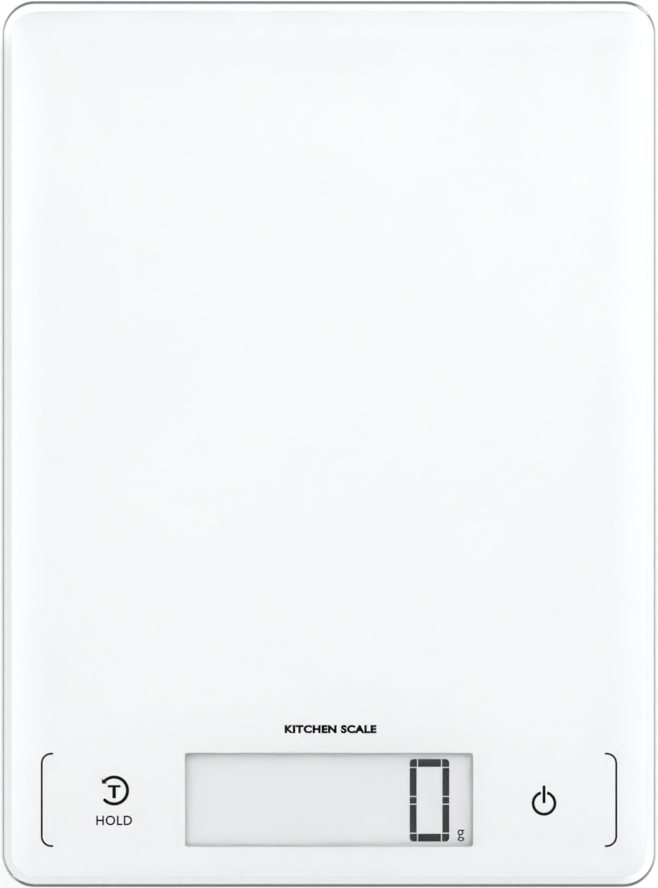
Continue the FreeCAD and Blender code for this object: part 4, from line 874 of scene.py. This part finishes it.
tinned = metal("tinned_lead", (0.70, 0.70, 0.69), (0.60, 0.60, 0.59), 0.25, 0.4)
leads = []
pitch = (high.y - low.y - 2 * reach) / CHIP_LEADS
for number in range(CHIP_LEADS):
    at = low.y + reach + (number + 0.5) * pitch
    for side in (-1, 1):
        edge = (low.x + high.x) / 2 + side * ((high.x - low.x) / 2 - reach / 2)
        leads.append(rounded_block("lead", edge - reach / 2, edge + reach / 2, at - CHIP_LEAD[1] / 2,
                                   at + CHIP_LEAD[1] / 2, high.z - CHIP_LEAD[2], high.z,
                                   bottom=0.05 * MM, edge_steps=1))
        middle_x = (low.x + high.x) / 2 - (low.y + high.y) / 2 + at
        edge = (low.y + high.y) / 2 + side * ((high.y - low.y) / 2 - reach / 2)
        leads.append(rounded_block("lead", middle_x - CHIP_LEAD[1] / 2, middle_x + CHIP_LEAD[1] / 2,
                                   edge - reach / 2, edge + reach / 2, high.z - CHIP_LEAD[2], high.z,
                                   bottom=0.05 * MM, edge_steps=1))
finish(join(leads, "chip_leads"), tinned, "nickel_plate", "housing")

ceramic, tree, shader = material("ceramic_parts", (0.42, 0.30, 0.19), (0.10, 0.10, 0.10), 500.0, 0.35, 0.5)
textured(tree, shader, grain, {"Scale": 3000.0, "Coarseness": 0.3}, 0.01 * MM)
dress_smooth(ceramic, "ceramic_parts", "housing", 0.06 * MM, "pcb_components")
switch_body = moulded("switch_body", (0.03, 0.03, 0.032), (0.045, 0.045, 0.047), 0.4, 0.55, (0.09, 0.09, 0.09))
dress_smooth(switch_body, "switch_body", "housing", 0.12 * MM, "unit_switch")
dress_smooth(switch_body, "switch_body", "unit_button", 0.12 * MM, "unit_switch_plunger")
dress_smooth(white_abs, "white_abs", "housing", 0.1 * MM, "lcd_holder")

# ------------------------------------------------------------------------------------------------
# Screws: zinc-plated pan heads with a cross slot, six through the cover into the carrier, four for
# the board and eight for the foot brackets.
# ------------------------------------------------------------------------------------------------
zinc_screw = metal("zinc_screw", (0.66, 0.66, 0.68), (0.56, 0.57, 0.60), 0.2, 0.36, 0.5)
dress_smooth(zinc_screw, "zinc_screw", "housing", 0.1 * MM, "case_screws", "pcb_screws", "bracket_screws")

# ------------------------------------------------------------------------------------------------
# Unit button: grey push button that stands in a hole of the cover and presses the unit switch.
# ------------------------------------------------------------------------------------------------
grey_abs = moulded("grey_abs", (0.30, 0.31, 0.32), (0.27, 0.28, 0.29), 0.35, 0.5, (0.42, 0.43, 0.44))
dress_smooth(grey_abs, "grey_abs", "unit_button", 0.3 * MM, "unit_button")

# ------------------------------------------------------------------------------------------------
# Cells: three small dry cells side by side, every second one turned round. Each is a bright steel can
# with a raised contact, in a printed plastic sleeve that is shrunk over both of its rims.
# ------------------------------------------------------------------------------------------------
CELL_RIM = 0.9 * MM
NUB_RADIUS = 1.9 * MM
NUB_LENGTH = 0.8 * MM
SLEEVE_LIP = 0.7 * MM
BAND_SHARE = 0.26


def lying_cylinder(name, x0, x1, y, z, radius, sides=64):
    """Closed cylinder along X."""
    bpy.ops.object.select_all(action="DESELECT")
    bpy.ops.mesh.primitive_cylinder_add(vertices=sides, radius=radius, depth=x1 - x0,
                                        location=((x0 + x1) / 2, y, z), rotation=(0, math.pi / 2, 0))
    obj = bpy.context.object
    obj.name = name
    bpy.ops.object.transform_apply(location=True, rotation=True, scale=True)
    return obj


def end_face(obj, sign):
    """Select the end face of a cylinder along X, on one side, in edit mode."""
    pick(obj, "FACE", lambda face: face.normal.x * sign > 0.99)


def step_end(obj, sign, inset, rise):
    """Inset an end face, then push it out along X."""
    end_face(obj, sign)
    bpy.ops.mesh.inset(thickness=inset)
    if rise:
        bpy.ops.mesh.extrude_region_move(TRANSFORM_OT_translate={"value": (sign * rise, 0, 0)})


def sleeve_material(name, positive, middle, length):
    """Shrink sleeve: dark, with a silver band at the raised contact's end and a fine gloss coat."""
    made, tree, shader = material(name, (0.02, 0.055, 0.11), (0.018, 0.048, 0.095), 120.0, 0.25, 0.34)
    shader.inputs["Coat Weight"].default_value = 0.3
    where = tree.nodes.new("ShaderNodeTexCoord")
    split = tree.nodes.new("ShaderNodeSeparateXYZ")
    tree.links.new(where.outputs["Object"], split.inputs["Vector"])
    along = sum_of(tree, "MULTIPLY", sum_of(tree, "SUBTRACT", split.outputs["X"], middle), float(positive))
    edge = (0.5 - BAND_SHARE) * length
    layer(tree, shader, eased(tree, along, edge, edge + 0.1 * MM, 0.0, 1.0), (0.62, 0.63, 0.64), 0.3)
    return made


can_steel = metal("can_steel", (0.68, 0.68, 0.67), (0.58, 0.58, 0.57), 0.18, 0.32)
for number in (1, 2, 3):
    node = f"battery_{number}"
    low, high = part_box(node)
    towards = -1 if low.x + high.x < 0 else 1
    y, z = (low.y + high.y) / 2, (low.z + high.z) / 2
    radius = (high.z - low.z) / 2
    start, end = (low.x + NUB_LENGTH, high.x) if towards < 0 else (low.x, high.x - NUB_LENGTH)
    can = lying_cylinder(node + "_can", start, end, y, z, radius - 0.1 * MM)
    bpy.ops.object.mode_set(mode="EDIT")
    step_end(can, towards, radius - NUB_RADIUS - 0.6 * MM, 0.0)
    step_end(can, towards, 0.5 * MM, NUB_LENGTH)
    step_end(can, -towards, 1.2 * MM, -0.15 * MM)
    bpy.ops.object.mode_set(mode="OBJECT")
    rims = can.modifiers.new("rims", "BEVEL")
    rims.width = 0.06 * MM
    rims.segments = 2
    rims.limit_method = "ANGLE"
    bpy.ops.object.modifier_apply(modifier=rims.name)
    smooth(can, 35)
    finish(can, can_steel, "nickel_plate", "housing", node)
    sleeve = lying_cylinder(node + "_sleeve", start + 0.04 * MM, end - 0.04 * MM, y, z, radius)
    bpy.ops.object.mode_set(mode="EDIT")
    for side in (-1, 1):
        end_face(sleeve, side)
        bpy.ops.mesh.bevel(offset=0.35 * MM, segments=4, affect="EDGES")
    pick(sleeve, "FACE", lambda face: abs(face.normal.x) > 0.99)
    bpy.ops.mesh.inset(thickness=SLEEVE_LIP)
    bpy.ops.mesh.delete(type="FACE")
    bpy.ops.object.mode_set(mode="OBJECT")
    wall = sleeve.modifiers.new("wall", "SOLIDIFY")
    wall.thickness = 0.08 * MM
    wall.offset = -1.0
    bpy.ops.object.modifier_apply(modifier=wall.name)
    smooth(sleeve, 35)
    finish(sleeve, sleeve_material(node + "_sleeve_print", towards, (start + end) / 2, end - start),
           "battery_wrap", "housing")

# ------------------------------------------------------------------------------------------------
# Battery contacts and their folded springs: nickel-plated sheet, flat on the end walls of the bay.
# ------------------------------------------------------------------------------------------------
nickel = metal("nickel_plate", (0.66, 0.62, 0.56), (0.56, 0.53, 0.49), 0.18, 0.32)
dress_smooth(nickel, "nickel_plate", "housing", 0.05 * MM, "battery_contacts", "battery_springs")

# ------------------------------------------------------------------------------------------------
# Battery door: flat ABS door that swings on two pins moulded in its back edge. Grip grooves and a
# plain arrow show where to push, and a springy blade on its front tab hooks over the floor.
# ------------------------------------------------------------------------------------------------
GROOVE_COUNT = 5
GROOVE_PITCH = 1.5 * MM
GROOVE_HALF = 7.0 * MM
GROOVE_WIDTH = 0.7 * MM
GROOVE_DEPTH = 0.35 * MM
ARROW_REACH = 2.4 * MM

low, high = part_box("battery_door")
door = copy_of("battery_door", "door_panel", 0.15 * MM)
first = low.y + 5.0 * MM
for number in range(GROOVE_COUNT):
    at = first + number * GROOVE_PITCH
    boolean(door, rounded_block("groove", -GROOVE_HALF, GROOVE_HALF, at, at + GROOVE_WIDTH, low.z - MM,
                                low.z + GROOVE_DEPTH, GROOVE_WIDTH * 0.49, corner_steps=4), "DIFFERENCE")
bpy.ops.object.select_all(action="DESELECT")
bpy.ops.mesh.primitive_cylinder_add(vertices=3, radius=ARROW_REACH, depth=2 * MM + 2 * GROOVE_DEPTH,
                                    location=(0, first + GROOVE_COUNT * GROOVE_PITCH + 2.6 * MM, low.z - MM))
arrow = bpy.context.object
bpy.ops.object.transform_apply(location=True, rotation=True, scale=True)
boolean(door, arrow, "DIFFERENCE")
smooth(door, 38)
finish(door, white_abs, "white_abs", "battery_door", "battery_door")
dress_smooth(white_abs, "white_abs", "battery_door", 0.08 * MM, "door_latch")

# ------------------------------------------------------------------------------------------------
# Feet: a soft rubber pad glued in a grey plastic foot, under each load cell. The pad's face has
# two ring grooves and its rim is rounded.
# ------------------------------------------------------------------------------------------------
PAD_RIM = 0.3 * MM
PAD_RINGS = ((1.6 * MM, 0.0), (0.05 * MM, 0.45 * MM), (1.1 * MM, 0.0), (0.05 * MM, -0.45 * MM),
             (2.0 * MM, 0.0), (0.05 * MM, 0.45 * MM), (1.0 * MM, 0.0), (0.05 * MM, -0.45 * MM))
PLACES = ("front_left", "front_right", "rear_left", "rear_right")

rubber, tree, shader = material("foot_rubber", (0.035, 0.036, 0.038), (0.055, 0.056, 0.058), 260.0, 0.7, 0.88)
textured(tree, shader, grain, {"Scale": 1500.0, "Coarseness": 0.6}, 0.03 * MM)
masked(tree, shader, edge_wear, {"Width": 0.4 * MM, "Amount": 0.35, "Scale": 500.0}, (0.10, 0.10, 0.10), 0.75)
low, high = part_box(PLACES[0] + "_foot_pad")
bpy.ops.object.select_all(action="DESELECT")
bpy.ops.mesh.primitive_cylinder_add(vertices=96, radius=(high.x - low.x) / 2, depth=high.z - low.z,
                                    location=(low + high) / 2)
pad = bpy.context.object
bpy.ops.object.transform_apply(location=True, rotation=True, scale=True)
bpy.ops.object.mode_set(mode="EDIT")
pick(pad, "EDGE", level_at(low.z))
bpy.ops.mesh.bevel(offset=PAD_RIM, segments=4, affect="EDGES")
pick(pad, "FACE", lambda face: face.normal.z < -0.99)
for inset, rise in PAD_RINGS:
    bpy.ops.mesh.inset(thickness=inset)
    bpy.ops.transform.translate(value=(0, 0, rise))
bpy.ops.object.mode_set(mode="OBJECT")
smooth(pad, 35)
pad.name = PLACES[0] + "_rubber_pad"
pads = [pad]
for place in PLACES[1:]:
    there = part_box(place + "_foot_pad")[0]
    twin = pad.copy()
    twin.data = pad.data.copy()
    twin.name = place + "_rubber_pad"
    twin.data.transform(Matrix.Translation((there.x - low.x, there.y - low.y, 0)))
    bpy.context.scene.collection.objects.link(twin)
    pads.append(twin)
for place, piece in zip(PLACES, pads):
    finish(piece, rubber, "foot_rubber", place + "_foot", place + "_foot_pad")
    dress_smooth(grey_abs, "grey_abs", place + "_foot", 0.2 * MM, place + "_foot")

# ------------------------------------------------------------------------------------------------
# Load cells: stamped steel plates held by their frame in a black bracket. The foot pushes up on the
# tongue, and the gauge glued across its root measures the bend. Three thin wires go to the board.
# ------------------------------------------------------------------------------------------------
black_abs = moulded("black_abs", (0.028, 0.028, 0.03), (0.042, 0.042, 0.044), 0.38, 0.52, (0.10, 0.10, 0.10))
cell_steel = metal("cell_steel", (0.60, 0.605, 0.62), (0.46, 0.465, 0.48), 0.24, 0.42)
gauge_film, tree, shader = material("gauge_film", (0.50, 0.27, 0.06), (0.42, 0.22, 0.05), 400.0, 0.25, 0.35)
where = tree.nodes.new("ShaderNodeTexCoord")
foil = tree.nodes.new("ShaderNodeTexWave")
foil.inputs["Scale"].default_value = 900.0
tree.links.new(where.outputs["Object"], foil.inputs["Vector"])
layer(tree, shader, eased(tree, foil.outputs["Fac"], 0.45, 0.6, 0.0, 0.8), (0.66, 0.60, 0.50), 0.3)
white_wire, tree, shader = material("white_wire", (0.78, 0.78, 0.76), (0.70, 0.70, 0.68), 300.0, 0.35, 0.5)
textured(tree, shader, grain, {"Scale": 1200.0, "Coarseness": 0.2}, 0.02 * MM)
red_wire, tree, shader = material("red_wire", (0.52, 0.02, 0.018), (0.42, 0.018, 0.016), 300.0, 0.35, 0.5)
textured(tree, shader, grain, {"Scale": 1200.0, "Coarseness": 0.2}, 0.02 * MM)
black_wire, tree, shader = material("black_wire", (0.02, 0.02, 0.021), (0.035, 0.035, 0.036), 300.0, 0.35, 0.5)
textured(tree, shader, grain, {"Scale": 1200.0, "Coarseness": 0.2}, 0.02 * MM)


def mirrored(piece, name, side_x, side_y):
    """Own copy of a piece on another side of the scale's middle."""
    twin = piece.copy()
    twin.data = piece.data.copy()
    twin.name = name
    bpy.context.scene.collection.objects.link(twin)
    twin.data.transform(Matrix.Diagonal((side_x, side_y, 1, 1)))
    if side_x * side_y < 0:
        face_outwards(twin)
    smooth(twin, 38)
    return twin


first_bracket = copy_of(PLACES[0] + "_cell_bracket", PLACES[0] + "_cell_bracket_piece", 0.1 * MM)
brackets = [first_bracket]
for place, side_x, side_y in zip(PLACES[1:], (-1, 1, -1), (1, -1, -1)):
    brackets.append(mirrored(first_bracket, place + "_cell_bracket_piece", side_x, side_y))
for place, bracket in zip(PLACES, brackets):
    finish(bracket, black_abs, "black_abs", "housing", place + "_cell_bracket")
    dress_smooth(cell_steel, "spring_steel", "housing", 0.1 * MM, place + "_load_cell")
    dress_smooth(gauge_film, "gauge_film", "housing", 0.04 * MM, place + "_strain_gauge")
    dress(white_wire, place + "_cell_lead")
dress(red_wire, "battery_lead_positive")
dress(black_wire, "battery_lead_negative")
